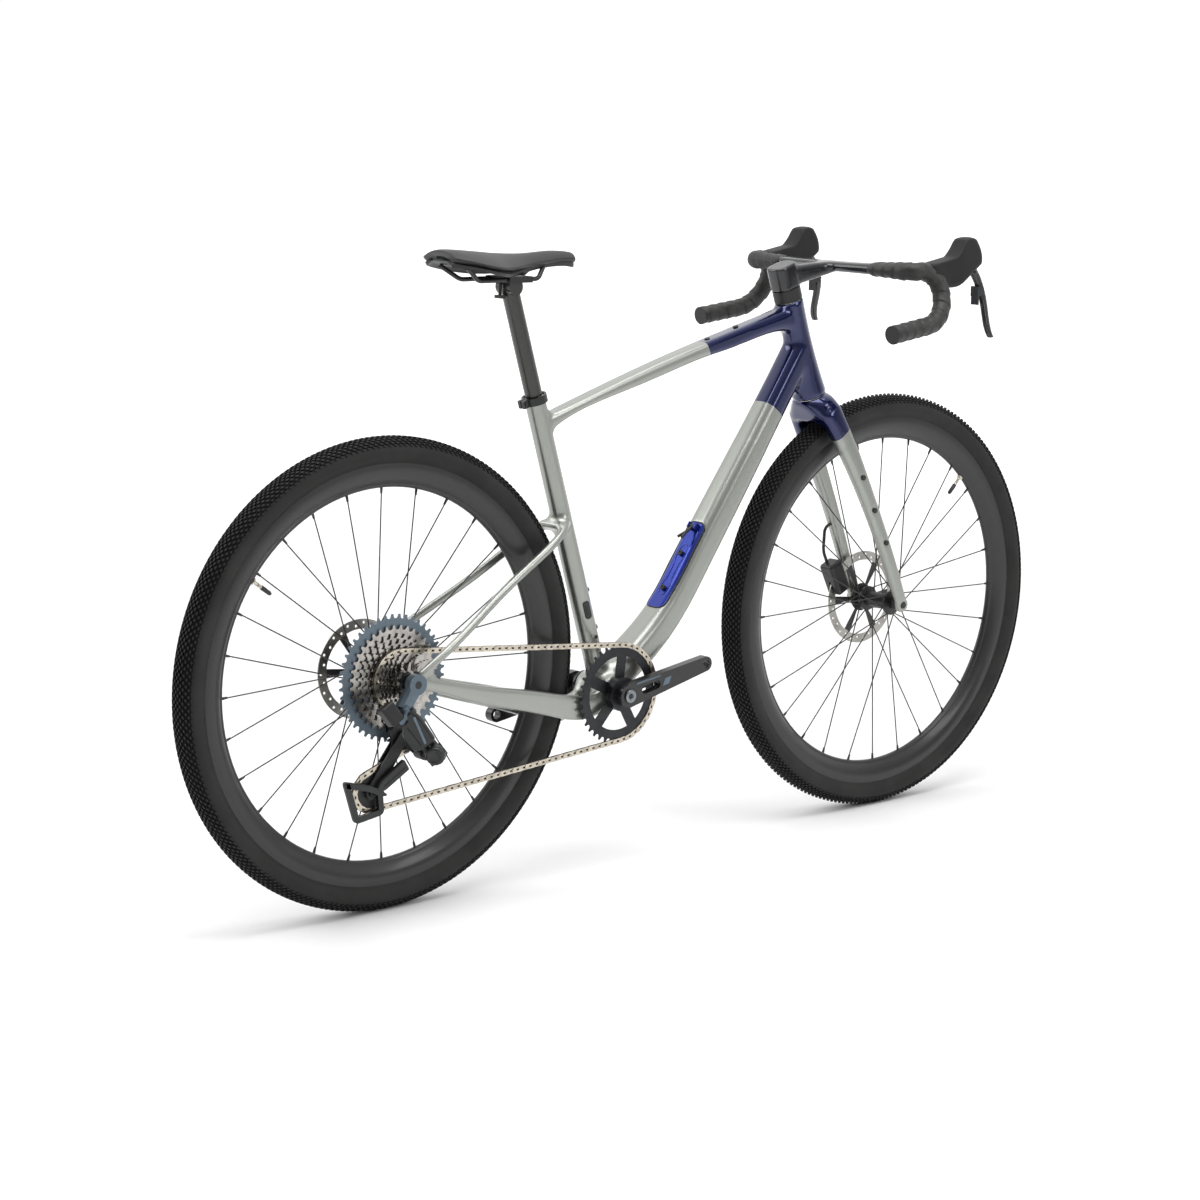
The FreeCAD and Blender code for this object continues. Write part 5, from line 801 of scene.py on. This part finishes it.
def square_horn(hood):
    """Narrow the upper end of a lever hood, and flatten its top."""
    spots = [vert.co for vert in hood.data.vertices]
    top = max(spot.z for spot in spots)
    high = [spot for spot in spots if spot.z > top - HORN["middle"] * MM]
    middle = sum(high, Vector()) / len(high)
    flat = top - HORN["flat"] * MM
    for spot in spots:
        share = min(1.0, max(0.0, (spot.z - top + HORN["from"] * MM) / (HORN["over"] * MM)))
        spot.x = middle.x + (spot.x - middle.x) * (1 - HORN["shorter"] * share)
        spot.y = middle.y + (spot.y - middle.y) * (1 - HORN["thinner"] * share)
        if spot.z > flat:
            spot.z = flat + (spot.z - flat) * HORN["press"]
    hood.data.update()


def widen_blade(lever, width):
    """Push the front of a lever's blade forward."""
    for vert in lever.data.vertices:
        if vert.normal.x > 0:
            vert.co.x += width * MM * vert.normal.x
    lever.data.update()


class BIKE_OT_wrap_bar(BikeOperator):
    """Wrap the bar's ends in tape, and make the bar, the hoods and the brake levers."""

    bl_idname = "bike.wrap_bar"
    bl_label = "Wrap bar"

    def execute(self, context):
        tape = pitted("bar_tape_skin", ((0.012, 0.012, 0.012), (0.035, 0.034, 0.032)), scale=620,
                      clouds=45, high=0.75, swing=0.16, strength=0.5, depth=0.25 * MM)
        right = tape_mesh(pitch=20.0, edge=1.3)
        piece("right_tape", right, tape, "steering", nodes=("bar_tape",))
        piece("left_tape", mirrored(right), tape, "steering")
        lacquer = carbon("lacquered_carbon", (0.006, 0.0065, 0.009), 0.22, 0.5)
        blended_skin("cockpit_skin", ("cockpit",), lacquer, "steering",
                     grain=1.7, fillet=9, rounds=6)
        blade = carbon("blade_carbon", (0.008, 0.008, 0.009), 0.22, 0.5)
        grip = rubber("hood_rubber", (0.013, 0.013, 0.014), 0.5)
        for side in ("right", "left"):
            hood = blended_skin(f"{side}_hood_skin", (f"{side}_hood",), grip, "steering",
                                grain=1.1, fillet=2, rounds=14)
            square_horn(hood)
            lever = blended_skin(f"{side}_lever_skin", (f"{side}_brake_lever",), blade, f"{side}_lever",
                                 grain=0.9, fillet=1.5, rounds=5)
            widen_blade(lever, width=4)
        return {"FINISHED"}


# Stations of the saddle from tail to nose: place, half width, crown height and side drop, as shares.
SADDLE_STATIONS = (
    (0.00, 0.50, 0.50, 0.80), (0.06, 0.80, 0.62, 1.20), (0.20, 1.00, 0.40, 1.70),
    (0.40, 0.68, -0.05, 1.60), (0.60, 0.365, -0.22, 1.20), (0.82, 0.260, -0.05, 0.90),
    (0.96, 0.195, -0.30, 0.66), (1.00, 0.095, -0.75, 0.40),
)
SADDLE = {"length": 254, "width": 146, "setback": 131, "height": 52, "pad": 24, "dip": 10,
          "rows": 44, "across": 29, "down": 6}
POST_HEAD = joint_at("saddle_tilt")


def saddle_ring(place_share, half_share, top_share, drop_share):
    """One crosswise ring of the cover: crown with a shallow channel, drawn-in sides, flat base."""
    x = POST_HEAD.x / MM - SADDLE["setback"] + SADDLE["length"] * place_share
    top = POST_HEAD.z / MM + SADDLE["height"] + SADDLE["dip"] * top_share
    half = SADDLE["width"] / 2 * half_share
    drop = SADDLE["pad"] / 2 * drop_share
    base = top - SADDLE["pad"] / 2 * (drop_share + 0.5)
    channel = 1.6 * max(0.0, math.sin(math.pi * min(1.0, max(0.0, (place_share - 0.05) / 0.75))))
    ring = []
    for k in range(SADDLE["across"]):
        t = 2 * k / (SADDLE["across"] - 1) - 1
        y = half * math.sin(t * math.pi / 2)
        share = abs(y) / half
        z = top - drop * share ** 2.4 - channel * math.exp(-(y / 9) ** 2)
        ring.append(Vector((x, y, z)) * MM)
    flank = []
    for k in range(SADDLE["down"]):
        t = (k + 1) / SADDLE["down"]
        y = half * (1 - 0.16 * t ** 1.5) + 0.9 * math.sin(math.pi * t)
        flank.append((y, top - drop + (base - top + drop) * t))
    ring.extend(Vector((x, y, z)) * MM for y, z in flank)
    ring.extend(Vector((x, -y, z)) * MM for y, z in reversed(flank))
    return ring


class BIKE_OT_pad_saddle(BikeOperator):
    """Make the saddle's padded cover."""

    bl_idname = "bike.pad_saddle"
    bl_label = "Pad saddle"

    def execute(self, context):
        rows = smooth_line(SADDLE_STATIONS, SADDLE["rows"])
        points = []
        for row in rows:
            points.extend(saddle_ring(*row))
        size = len(points) // len(rows)
        faces = strip(len(rows), size, True) + caps(len(rows), size, True)
        leather = pitted("saddle_leather", ((0.017, 0.017, 0.018), (0.028, 0.028, 0.029)), scale=900,
                         clouds=22, high=0.7, swing=0.12, strength=0.25, depth=0.12 * MM)
        made = piece("saddle_pad", (points, faces), leather, "saddle",
                     nodes=("saddle_cover",))
        return {"FINISHED"}


def turned(profile, start, axis, count):
    """A round piece: radius and distance along an axis from a start point, in millimetres."""
    axis = axis.normalized()
    side = axis.orthogonal().normalized()
    other = axis.cross(side)
    points = []
    for radius, along in profile:
        for k in range(count):
            angle = 2 * math.pi * k / count
            around = side * math.cos(angle) + other * math.sin(angle)
            points.append(start + axis * (along * MM) + around * (radius * MM))
    return points, strip(len(profile), count) + caps(len(profile), count)


def rounded(corners, radius, steps=5):
    """A closed outline with its corners rounded."""
    outline = []
    count = len(corners)
    for k in range(count):
        here = Vector(corners[k])
        back = Vector(corners[k - 1]) - here
        ahead = Vector(corners[(k + 1) % count]) - here
        trim = min(radius, back.length * 0.48, ahead.length * 0.48)
        start, end = here + back.normalized() * trim, here + ahead.normalized() * trim
        for step in range(steps + 1):
            s = step / steps
            outline.append(start * (1 - s) ** 2 + here * (2 * s * (1 - s)) + end * s ** 2)
    return outline


def wound(outline):
    """An outline that runs anticlockwise, and the way inwards at each of its points."""
    count = len(outline)
    area = sum(outline[k - 1].x * outline[k].y - outline[k].x * outline[k - 1].y for k in range(count))
    if area < 0:
        outline = list(reversed(outline))
    inward = []
    for k in range(count):
        along = (outline[(k + 1) % count] - outline[k - 1]).normalized()
        inward.append(Vector((-along.y, along.x)))
    return outline, inward


def raised(outline, section, side, faces_of):
    """An outline swept round a section of depths inwards and heights, in millimetres.

    The side is a base point, the outline's two directions and the way out.
    """
    base, u, v, out = side
    points = []
    outline, inward = wound(outline)
    for depth, height in section:
        for place, way in zip(outline, inward):
            spot = place + way * depth
            points.append(base + (u * spot.x + v * spot.y + out * height) * MM)
    faces = faces_of(len(section), len(outline))
    if u.cross(v).dot(out) <= 0:
        faces = [tuple(reversed(face)) for face in faces]
    return points, faces


def slab(outline, side, low, high, bevel=0.8):
    """A plate with an eased edge, between two heights."""
    section = ((bevel, low), (0, low + bevel), (0, high - bevel), (bevel, high))
    return raised(outline, section, side, lambda rings, count: strip(rings, count) + caps(rings, count))


def band(outline, width, side, low, high):
    """A flat ring with an even width inwards, between two heights."""
    ease = 0.9
    section = ((ease, high), (0, high - ease), (0, low + ease), (ease, low), (width, low), (width, high))
    return raised(outline, section, side, lambda rings, count: strip(rings, count, True, True))


def cable(path, radius, sides=10):
    """A closed round cord of even thickness through points in metres."""
    points = []
    up = Vector((0.13, 0.31, 0.94))
    for k, place in enumerate(path):
        ahead = (path[(k + 1) % len(path)] - path[k - 1]).normalized()
        up = (up - ahead * up.dot(ahead)).normalized()
        across = ahead.cross(up)
        for side in range(sides):
            angle = 2 * math.pi * side / sides
            points.append(place + (up * math.cos(angle) + across * math.sin(angle)) * (radius * MM))
    return points, strip(len(path), sides, True, True)


def joined(parts):
    """Several meshes as one."""
    points, faces = [], []
    for more_points, more_faces in parts:
        start = len(points)
        points.extend(more_points)
        faces.extend(tuple(start + corner for corner in face) for face in more_faces)
    return points, faces


def islands(node):
    """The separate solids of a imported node, each as a list of points."""
    shell = welded(node)
    seen, groups = set(), []
    for seed in shell.verts:
        if seed in seen:
            continue
        seen.add(seed)
        stack, group = [seed], []
        while stack:
            vert = stack.pop()
            group.append(vert.co.copy())
            for edge in vert.link_edges:
                other = edge.other_vert(vert)
                if other not in seen:
                    seen.add(other)
                    stack.append(other)
        groups.append(group)
    shell.free()
    return groups


VALVE_ANGLE = {"front": 45, "rear": 144}
RIM_INSIDE = 280.5
# Outlines of turned pieces: radius, and distance along.
NIPPLE = ((2.1, -4), (2.1, 3), (1.7, 9), (1.15, 10))
VALVE_STEM = ((3.0, -4), (3.0, 12), (2.6, 12.2), (2.6, 14), (3.0, 14.2), (3.0, 20), (1.4, 20.2), (1.4, 24))
VALVE_NUT = ((5.2, 0), (5.6, 0.8), (5.6, 2.6), (4.4, 3.6))
VALVE_CAP = ((3.4, 19), (3.6, 20), (3.3, 36), (2.4, 38.5), (1.2, 39.2))
SEAT_TUBE_SCREW = ((3.4, -1.0), (3.4, 0.8), (2.8, 1.3), (1.5, 1.3), (1.3, 0.4), (0.2, 0.4))
MOTOR_HOUSING = ((12.0, 8.0), (14.3, 9.6), (14.3, 21), (13.2, 24), (9.5, 25.6), (9.0, 25.0), (0.4, 25.0))
CAGE_BOLT = ((6.5, 0), (6.5, 3.2), (5.6, 4.0), (3.0, 4.0), (2.6, 2.6), (0.3, 2.6))
CRANK_CAP = ((10.4, 0), (10.4, 0.9), (9.6, 1.6), (5.0, 1.6), (4.7, 1.2), (4.7, 0.2), (0.3, 0.2))
HATCH_BOLT = ((4.6, -1.5), (4.6, 1.6), (4.0, 2.3), (2.2, 2.3), (2.0, 0.8), (0.3, 0.7))


class BIKE_OT_trim_wheels(BikeOperator):
    """Add spoke nipples and valves to both wheels."""

    bl_idname = "bike.trim_wheels"
    bl_label = "Trim wheels"

    def execute(self, context):
        black = moulded("nipple_black", (0.018, 0.018, 0.018), 0.35, *FINE_GRAIN)
        silver = machined("valve_nickel", (0.62, 0.58, 0.50), 0.25)
        for end, hub in HUBS:
            body = f"{end}_wheel"
            nipples = []
            for points in islands(f"{end}_spokes"):
                ranked = sorted(points, key=lambda point: (point - hub).length)
                few = max(4, len(ranked) // 4)
                inner = sum(ranked[:few], Vector()) / few
                outer = sum(ranked[-few:], Vector()) / few
                way = (inner - outer).normalized()
                reach = (outer - hub).length / MM - RIM_INSIDE
                profile = [(radius, reach + along) for radius, along in NIPPLE]
                nipples.append(turned(profile, outer, way, 10))
            piece(f"{end}_nipples", joined(nipples), black, body)
            angle = math.radians(VALVE_ANGLE[end])
            out = Vector((math.cos(angle), 0, math.sin(angle)))
            root = hub + out * (RIM_INSIDE * MM)
            stem = [turned(VALVE_STEM, root, -out, 16), turned(VALVE_NUT, root, -out, 18)]
            piece(f"{end}_valve_stem", joined(stem), silver, body)
            piece(f"{end}_valve_cap", turned(VALVE_CAP, root, -out, 18), black, body)
        return {"FINISHED"}


HATCH_FOOT = joint_at("hatch_hinge")
HATCH_UP = (joint_at("hatch_latch_hinge") - HATCH_FOOT).normalized()
HATCH_OUT = HATCH_UP.cross(Y).normalized()
HATCH = {"length": 158, "half": 20, "corner": 14, "bolts": (36, 100), "pocket": 22, "liner": 8}
# How far round the hatch the frame's skin is pressed in: past its ends, beside it, below and above it.
POCKET = {"ends": 4, "sides": 2, "below": -30, "above": 14}
SEAL = {"radius": 1.3, "lift": -0.7, "out": 1.4, "step": 4}


def surface_of(mesh):
    """A finder for places on a mesh."""
    shell = bmesh.new()
    shell.from_mesh(mesh)
    tree = BVHTree.FromBMesh(shell)
    shell.free()
    return tree


def hatch_point(tree, along, aside, lift=0.0):
    """The point of the hatch's face at a distance along and aside, in millimetres, or None beside it."""
    above = HATCH_FOOT + (HATCH_UP * along + Y * aside + HATCH_OUT * 60) * MM
    hit = tree.ray_cast(above, -HATCH_OUT, 120 * MM)[0]
    return hit + HATCH_OUT * (lift * MM) if hit else None


def sink_pocket(skin):
    """Press the frame's skin in under the storage hatch."""
    tree = surface_of(frame["nodes"]["storage_hatch"].data)
    for vert in skin.data.vertices:
        offset = (vert.co - HATCH_FOOT) / MM
        along, aside, height = offset.dot(HATCH_UP), offset.dot(Y), offset.dot(HATCH_OUT)
        under = (POCKET["below"] < height < POCKET["above"]
                 and -POCKET["ends"] < along < HATCH["length"] + POCKET["ends"]
                 and abs(aside) <= HATCH["half"] + POCKET["sides"])
        face = hatch_point(tree, along, aside) if under else None
        if face:
            vert.co = face - HATCH_OUT * (HATCH["pocket"] * MM)


def lamp(name, at, target, size, power):
    """A soft box that faces a point."""
    light = bpy.data.lights.new(name, "AREA")
    light.shape = "RECTANGLE"
    light.size, light.size_y = size
    light.energy = power
    made = linked(name, light)
    made.location = at
    made.rotation_euler = (Vector(target) - Vector(at)).to_track_quat("-Z", "Y").to_euler()


LINK_AT = joint_at("shift_link")
LINK_FOOT = joint_at("shift_knuckle")
LINK_LINE = (LINK_FOOT - LINK_AT).normalized()
LINK_AXIS = joint_axis("shift_link") * (1 if joint_axis("shift_link").x > 0 else -1)
LINK_SIDE = LINK_LINE.cross(LINK_AXIS)
CAGE_AT = joint_at("cage_swing")
TENSION_AT = joint_at("tension_pulley_turn")
CAGE_FACE = 50.3
CRANK_ANGLE = math.radians(11.2)
CRANK_FACE = 73.0


def flat_at(point):
    """A point moved to the bike's middle plane."""
    return Vector((point.x, 0, point.z))


SEAT_UP = Vector((-0.28569, 0, 0.95832))
PORT_AT = (-142, 414)
SCREW_AT = (-123, 369)


class BIKE_OT_trim_frame(BikeOperator):
    """Add the covered port and the small screw on the seat tube."""

    bl_idname = "bike.trim_frame"
    bl_label = "Trim frame"

    def execute(self, context):
        tree = surface_of(bpy.data.objects["frame_skin"].data)
        black = moulded("port_black", (0.010, 0.010, 0.011), 0.3, *FINE_GRAIN)
        lip = rounded([(-15, -6), (15, -6), (15, 6), (-15, 6)], 5.5, 6)
        lid = rounded([(-8, -3), (9, -3), (9, 3), (-8, 3)], 2.6, 5)
        at, out = self.wall(tree, *PORT_AT)
        along = (SEAT_UP - out * SEAT_UP.dot(out)).normalized()
        side = (at, along, out.cross(along), out)
        for name, shape in (("port_lip", slab(lip, side, -3.0, 0.9, 0.5)),
                            ("port_lid", slab(lid, side, 0.6, 1.6, 0.4))):
            piece(name, shape, black, "frame", False)
        screw = turned(SEAT_TUBE_SCREW, *self.wall(tree, *SCREW_AT), 20)
        piece("seat_tube_screw", screw, black, "frame")
        return {"FINISHED"}

    def wall(self, tree, x, z):
        """The frame's right side at a place in the side view: a point and its outward direction."""
        hit, normal = tree.ray_cast(Vector((x, -120, z)) * MM, Y, 0.2)[:2]
        if hit is None:
            raise RuntimeError("no frame wall at the seat tube's port")
        return hit, normal if normal.y < 0 else -normal


class BIKE_OT_trim_drivetrain(BikeOperator):
    """Add the derailleur's covers, the cage's arm and loop, the crank's trim, and painted shade in the
    cage's groove, the crank's socket and the chain's gaps.
    """

    bl_idname = "bike.trim_drivetrain"
    bl_label = "Trim drivetrain"

    def execute(self, context):
        grey_blue = machined("trim_grey_blue", context.scene.bike_paint.grey_blue, 0.34)
        plastic = moulded("cover_black", (0.013, 0.014, 0.015), 0.36, *COVER_GRAIN)
        self.derailleur(plastic, grey_blue)
        self.cage(plastic)
        self.crank(plastic, grey_blue)
        self.chain()
        return {"FINISHED"}

    def chain(self):
        """Painted shade: a dark patch on both faces of each link's plates, in its middle, standing for the
        shade of the gap there.
        """
        # Painted shade: a near-black patch stands for the shade in each link's gap.
        dark = moulded("chain_gap_painted_shade", (0.012, 0.011, 0.010), 0.55, *FINE_GRAIN)
        shade_patch = rounded([(-2.6, -1.5), (2.6, -1.5), (2.6, 1.5), (-2.6, 1.5)], 1.4, 3)
        gap_shade = []
        for link in islands("chain"):
            middle = sum(link, Vector()) / len(link)
            far = max(link, key=lambda spot: flat_at(spot - middle).length)
            along = flat_at(far - middle).normalized()
            low, high = min(spot.y for spot in link), max(spot.y for spot in link)
            for level, out in ((-low / MM, -Y), (high / MM, Y)):
                side = (flat_at(middle), along, Y.cross(along), out)
                gap_shade.append(slab(shade_patch, side, level - 0.5, level + 0.08, 0.05))
        piece("chain_gap_shade", joined(gap_shade), dark, "frame", False)

    def derailleur(self, plastic, grey_blue):
        """The link's wide cover with a plain stripe, and the motor's round housing."""
        side = (LINK_AT, LINK_LINE, LINK_SIDE, -LINK_AXIS)
        cover = rounded([(-6, 1), (2, -1), (5, -13), (18, -25), (49, -25), (53, -6), (50, 13), (8, 15),
                         (-6, 10)], 6)
        panel = rounded([(10, -9), (19, -20), (45, -20), (47, -8)], 4)
        stripe = rounded([(2, 8), (46, -3), (46, 1.5), (2, 12)], 1.2)
        for name, outline, low, high, bevel, material, slot in (
                ("derailleur_cover", cover, 8.2, 19.0, 2.0, plastic, "black_plastic"),
                ("derailleur_panel", panel, 18.6, 20.2, 0.6, plastic, "black_plastic"),
                ("derailleur_stripe", stripe, 18.7, 19.7, 0.3, grey_blue, "grey_blue")):
            piece(name, slab(outline, side, low, high, bevel), material, "outer_link", False)
        housing = turned(MOTOR_HOUSING, LINK_FOOT, -LINK_AXIS, 40)
        piece("derailleur_housing", housing, plastic, "knuckle")

    def cage(self, plastic):
        """The boxy arm and the loop round the lower pulley."""
        along = flat_at(TENSION_AT - CAGE_AT).normalized()
        side = (flat_at(CAGE_AT), along, Y.cross(along), -Y)
        pulley = flat_at(TENSION_AT)
        # Near black: painted shade in the arm's groove, and the cage bolt's own black.
        dark = moulded("groove_shade_and_bolt_black", (0.006, 0.006, 0.006), 0.6, *SOFT_GRAIN)
        arm = rounded([(33, -9), (84, -8), (94, -3), (94, 4), (84, 9), (33, 10)], 3)
        # Painted shade: a thin near-black strip on the arm's top stands for the shade in its groove.
        groove_shade_outline = rounded([(38, -2.5), (82, -2), (82, 0.6), (38, 0.6)], 1.2)
        loop = rounded([(-57, 26), (-36, -42), (17, -34), (14, 3), (-8, 13)], 9, 6)
        ring = band(loop, 9.5, (pulley, X, Z, -Y), CAGE_FACE, CAGE_FACE + 6.5)
        bolt = turned(CAGE_BOLT, pulley - Y * (CAGE_FACE * MM), -Y, 24)
        for name, shape, material, smooth in (
                ("cage_arm", slab(arm, side, CAGE_FACE, CAGE_FACE + 7.5, 1.2), plastic, False),
                ("cage_groove_shade", slab(groove_shade_outline, side, CAGE_FACE + 7.2, CAGE_FACE + 7.7, 0.2), dark, False),
                ("cage_loop", ring, plastic, False), ("cage_bolt", bolt, dark, True)):
            piece(name, shape, material, "cage", smooth)

    def crank(self, plastic, grey_blue):
        """The crank bolt's cap with painted shade in its socket, and two plain accents on the arm."""
        along = Vector((math.cos(CRANK_ANGLE), 0, math.sin(CRANK_ANGLE)))
        plane = (along, Y.cross(along) * -1, -Y)
        middle = flat_at(BRACKET)
        cap_at = middle - Y * ((CRANK_FACE + 1.5) * MM)
        alloy = machined("cap_grey", (0.25, 0.28, 0.30), 0.3)
        piece("crank_cap", turned(CRANK_CAP, cap_at, -Y, 40), alloy, "cranks")
        sixths = [k * math.pi / 3 for k in range(6)]
        # Painted shade: a black hexagon in the cap's recess stands for the shade in the bolt's socket.
        socket = [Vector((4.2 * math.cos(angle), 4.2 * math.sin(angle))) for angle in sixths]
        piece("crank_socket_shade", slab(socket, (cap_at, *plane), 0.1, 0.9, 0.2), plastic, "cranks",
              False)
        accent = rounded([(68, -5.5), (82, -5.5), (89, 5.0), (75, 5.0)], 1.2)
        strip_line = rounded([(15, 13.2), (68, 11.0), (65, 13.8), (17, 16.2)], 1.0)
        for name, outline in (("crank_accent", accent), ("crank_strip", strip_line)):
            plate = slab(outline, (middle, *plane), CRANK_FACE - 0.3, CRANK_FACE + 0.5, 0.2)
            piece(name, plate, grey_blue, "cranks", False)


class BIKE_OT_trim_hatch(BikeOperator):
    """Add the storage hatch's seal, its raised outline, its bolts and the pocket's liner."""

    bl_idname = "bike.trim_hatch"
    bl_label = "Trim hatch"

    def execute(self, context):
        tree = surface_of(frame["nodes"]["storage_hatch"].data)
        black = moulded("seal_black", (0.012, 0.012, 0.012), 0.5, *SOFT_GRAIN)
        edge = self.border(1, 0.8, HATCH["corner"], 8)
        middle = Vector((HATCH["length"] / 2, 0))
        seal = []
        for k in range(len(edge)):
            one, two = edge[k - 1], edge[k]
            parts = max(1, round((two - one).length / SEAL["step"]))
            for part in range(parts):
                spot = one + (two - one) * (part / parts)
                place = hatch_point(tree, spot.x, spot.y, SEAL["lift"])
                if place:
                    away = (spot - middle).normalized()
                    seal.append(place + (HATCH_UP * away.x + Y * away.y) * (SEAL["out"] * MM))
        piece("hatch_seal", cable(seal, SEAL["radius"]), black, "frame")
        liner = self.border(2, 2, 12, 5)
        crown = (hatch_point(tree, middle.x, 0) - HATCH_FOOT).dot(HATCH_OUT) / MM
        depth = crown - HATCH["pocket"] + HATCH["liner"]
        floor = slab(liner, (HATCH_FOOT, HATCH_UP, Y, HATCH_OUT), depth - 3, depth)
        piece("hatch_liner", floor, black, "frame")
        low, high = HATCH["bolts"]
        bone = rounded([(low - 11, -6), (low - 4, -9), (low + 8, -9), (low + 18, -5.5), (high - 18, -5.5),
                        (high - 8, -9), (high + 6, -9), (high + 17, -4), (high + 17, 4), (high + 6, 9),
                        (high - 8, 9), (high - 18, 5.5), (low + 18, 5.5), (low + 8, 9), (low - 4, 9),
                        (low - 11, 6)], 9, 4)
        ridge = [hatch_point(tree, spot.x, spot.y, 0.1) for spot in bone]
        blue = paint("hatch_ridge_blue", shaded(context.scene.bike_paint.blue, HATCH_TINT), 0.7, 0.2)
        piece("hatch_outline", cable([place for place in ridge if place], 0.9), blue, "hatch")
        bolts = [turned(HATCH_BOLT, hatch_point(tree, along, 0), HATCH_OUT, 24) for along in HATCH["bolts"]]
        piece("hatch_bolts", joined(bolts), black, "hatch")
        return {"FINISHED"}

    def border(self, inset, narrower, radius, steps):
        """The hatch's outline, drawn in at its ends and its sides."""
        low, high, half = inset, HATCH["length"] - inset, HATCH["half"] - narrower
        return rounded([(low, -half), (high, -half), (high, half), (low, half)], radius, steps)


# The way from the camera to behind the bike, and the room's light in front, behind and above.
AWAY = (0.65, 0.76, 0)
SKY = {"front": 0.30, "behind": 0.98, "above": 0.4}
FLOOR = {"sides": 96, "radius": 30.0, "fade": (0.8, 6.0)}
TARGET = Vector((-102.84, 0, 423.31)) * MM
SENSOR_WIDTH = 36
# Soft boxes: place, target, size and power.
LAMPS = {
    "top_box": ((-0.3, -0.5, 3.4), (0, 0, 0.4), (3.0, 1.6), 62),
    "right_box": ((1.4, -3.2, 2.4), (0.1, 0, 0.5), (0.9, 2.4), 34),
    "back_box": ((-2.4, 2.6, 2.4), (0, 0, 0.5), (1.6, 2.0), 30),
}


class BIKE_OT_set_stage(BikeOperator):
    """Set the floor, the soft light and the camera."""

    bl_idname = "bike.set_stage"
    bl_label = "Set stage"

    def execute(self, context):
        scene = context.scene
        self.floor()
        self.light(scene)
        self.camera(scene, scene.bike_stage)
        return {"FINISHED"}

    def floor(self):
        """A pale round floor that fades to white behind the bike."""
        count, radius = FLOOR["sides"], FLOOR["radius"]
        turns = [2 * math.pi * k / count for k in range(count)]
        ring = [(radius * math.cos(angle), radius * math.sin(angle), 0) for angle in turns]
        mesh = bpy.data.meshes.new("floor")
        mesh.from_pydata(ring, [], [tuple(range(count))])
        finish = Finish("pale_floor")
        cloud = finish.noise(SCALES["floor"], 2.0)
        glow = finish.mix(finish.along(AWAY).smooth(*FLOOR["fade"]), (0, 0, 0, 1), (0.62, 0.62, 0.62, 1))
        mesh.materials.append(finish.surface(
            colour=finish.mix(cloud, (0.92, 0.92, 0.92, 1), (0.94, 0.94, 0.94, 1)), roughness=0.7,
            emission=glow, emission_strength=1.0))
        linked("floor", mesh)

    def light(self, scene):
        """A white room, bright above and behind the bike, with three soft boxes."""
        scene.view_settings.view_transform = "Standard"
        world = bpy.data.worlds.new("studio")
        world.use_nodes = True
        scene.world = world
        sky = Nodes(world.node_tree)
        sky.place = sky.node("ShaderNodeTexCoord", output="Generated")
        far = sky.along(AWAY).smooth(-0.35, 0.6)
        above = sky.along(Z).smooth(0.35, 0.9)
        level = SKY["front"] + far * SKY["behind"] + above * SKY["above"]
        background = sky.node("ShaderNodeBackground", inputs={"Strength": level})
        sky.node("ShaderNodeOutputWorld", inputs={"Surface": background})
        for name, settings in LAMPS.items():
            lamp(name, *settings)

    def camera(self, scene, stage):
        """The camera, at the angle of the photograph."""
        turn, rise, roll = (math.radians(value) for value in (stage.azimuth, stage.elevation, stage.roll))
        back = Vector((math.sin(turn) * math.cos(rise), -math.cos(turn) * math.cos(rise), math.sin(rise)))
        right = Z.cross(back).normalized()
        up = back.cross(right)
        right, up = (right * math.cos(roll) + up * math.sin(roll),
                     up * math.cos(roll) - right * math.sin(roll))
        data = bpy.data.cameras.new("camera")
        data.lens = stage.lens
        data.sensor_width = SENSOR_WIDTH
        made = linked("camera", data)
        matrix = Matrix((right, up, back)).transposed().to_4x4()
        matrix.translation = TARGET + back * stage.distance
        made.matrix_world = matrix
        scene.camera = made


class BIKE_PT_dresser(bpy.types.Panel):
    """Lists the steps in the sidebar."""

    bl_label = "Gravel bike"
    bl_idname = "BIKE_PT_dresser"
    bl_space_type = "VIEW_3D"
    bl_region_type = "UI"
    bl_category = "Bike"

    def draw(self, context):
        for step in STEPS:
            self.layout.operator(step.bl_idname)


STEPS = (
    BIKE_OT_paint_frame, BIKE_OT_finish_metal, BIKE_OT_make_tyres, BIKE_OT_trim_wheels, BIKE_OT_wrap_bar,
    BIKE_OT_pad_saddle, BIKE_OT_trim_hatch, BIKE_OT_trim_frame, BIKE_OT_trim_drivetrain,
    BIKE_OT_set_stage,
)
SETTINGS = {"bike_paint": PaintSettings, "bike_tyres": TyreSettings, "bike_stage": StageSettings}


def register():
    """Register the settings, the steps and the panel."""
    for name, group in SETTINGS.items():
        bpy.utils.register_class(group)
        setattr(bpy.types.Scene, name, PointerProperty(type=group))
    for step in STEPS + (BIKE_PT_dresser,):
        bpy.utils.register_class(step)


def unregister():
    """Take everything out again."""
    for step in reversed(STEPS + (BIKE_PT_dresser,)):
        bpy.utils.unregister_class(step)
    for name, group in SETTINGS.items():
        delattr(bpy.types.Scene, name)
        bpy.utils.unregister_class(group)


def main():
    """Run every step in order."""
    register()
    for step in STEPS:
        group, name = step.bl_idname.split(".")
        getattr(getattr(bpy.ops, group), name)()


if __name__ == "__main__":
    main()
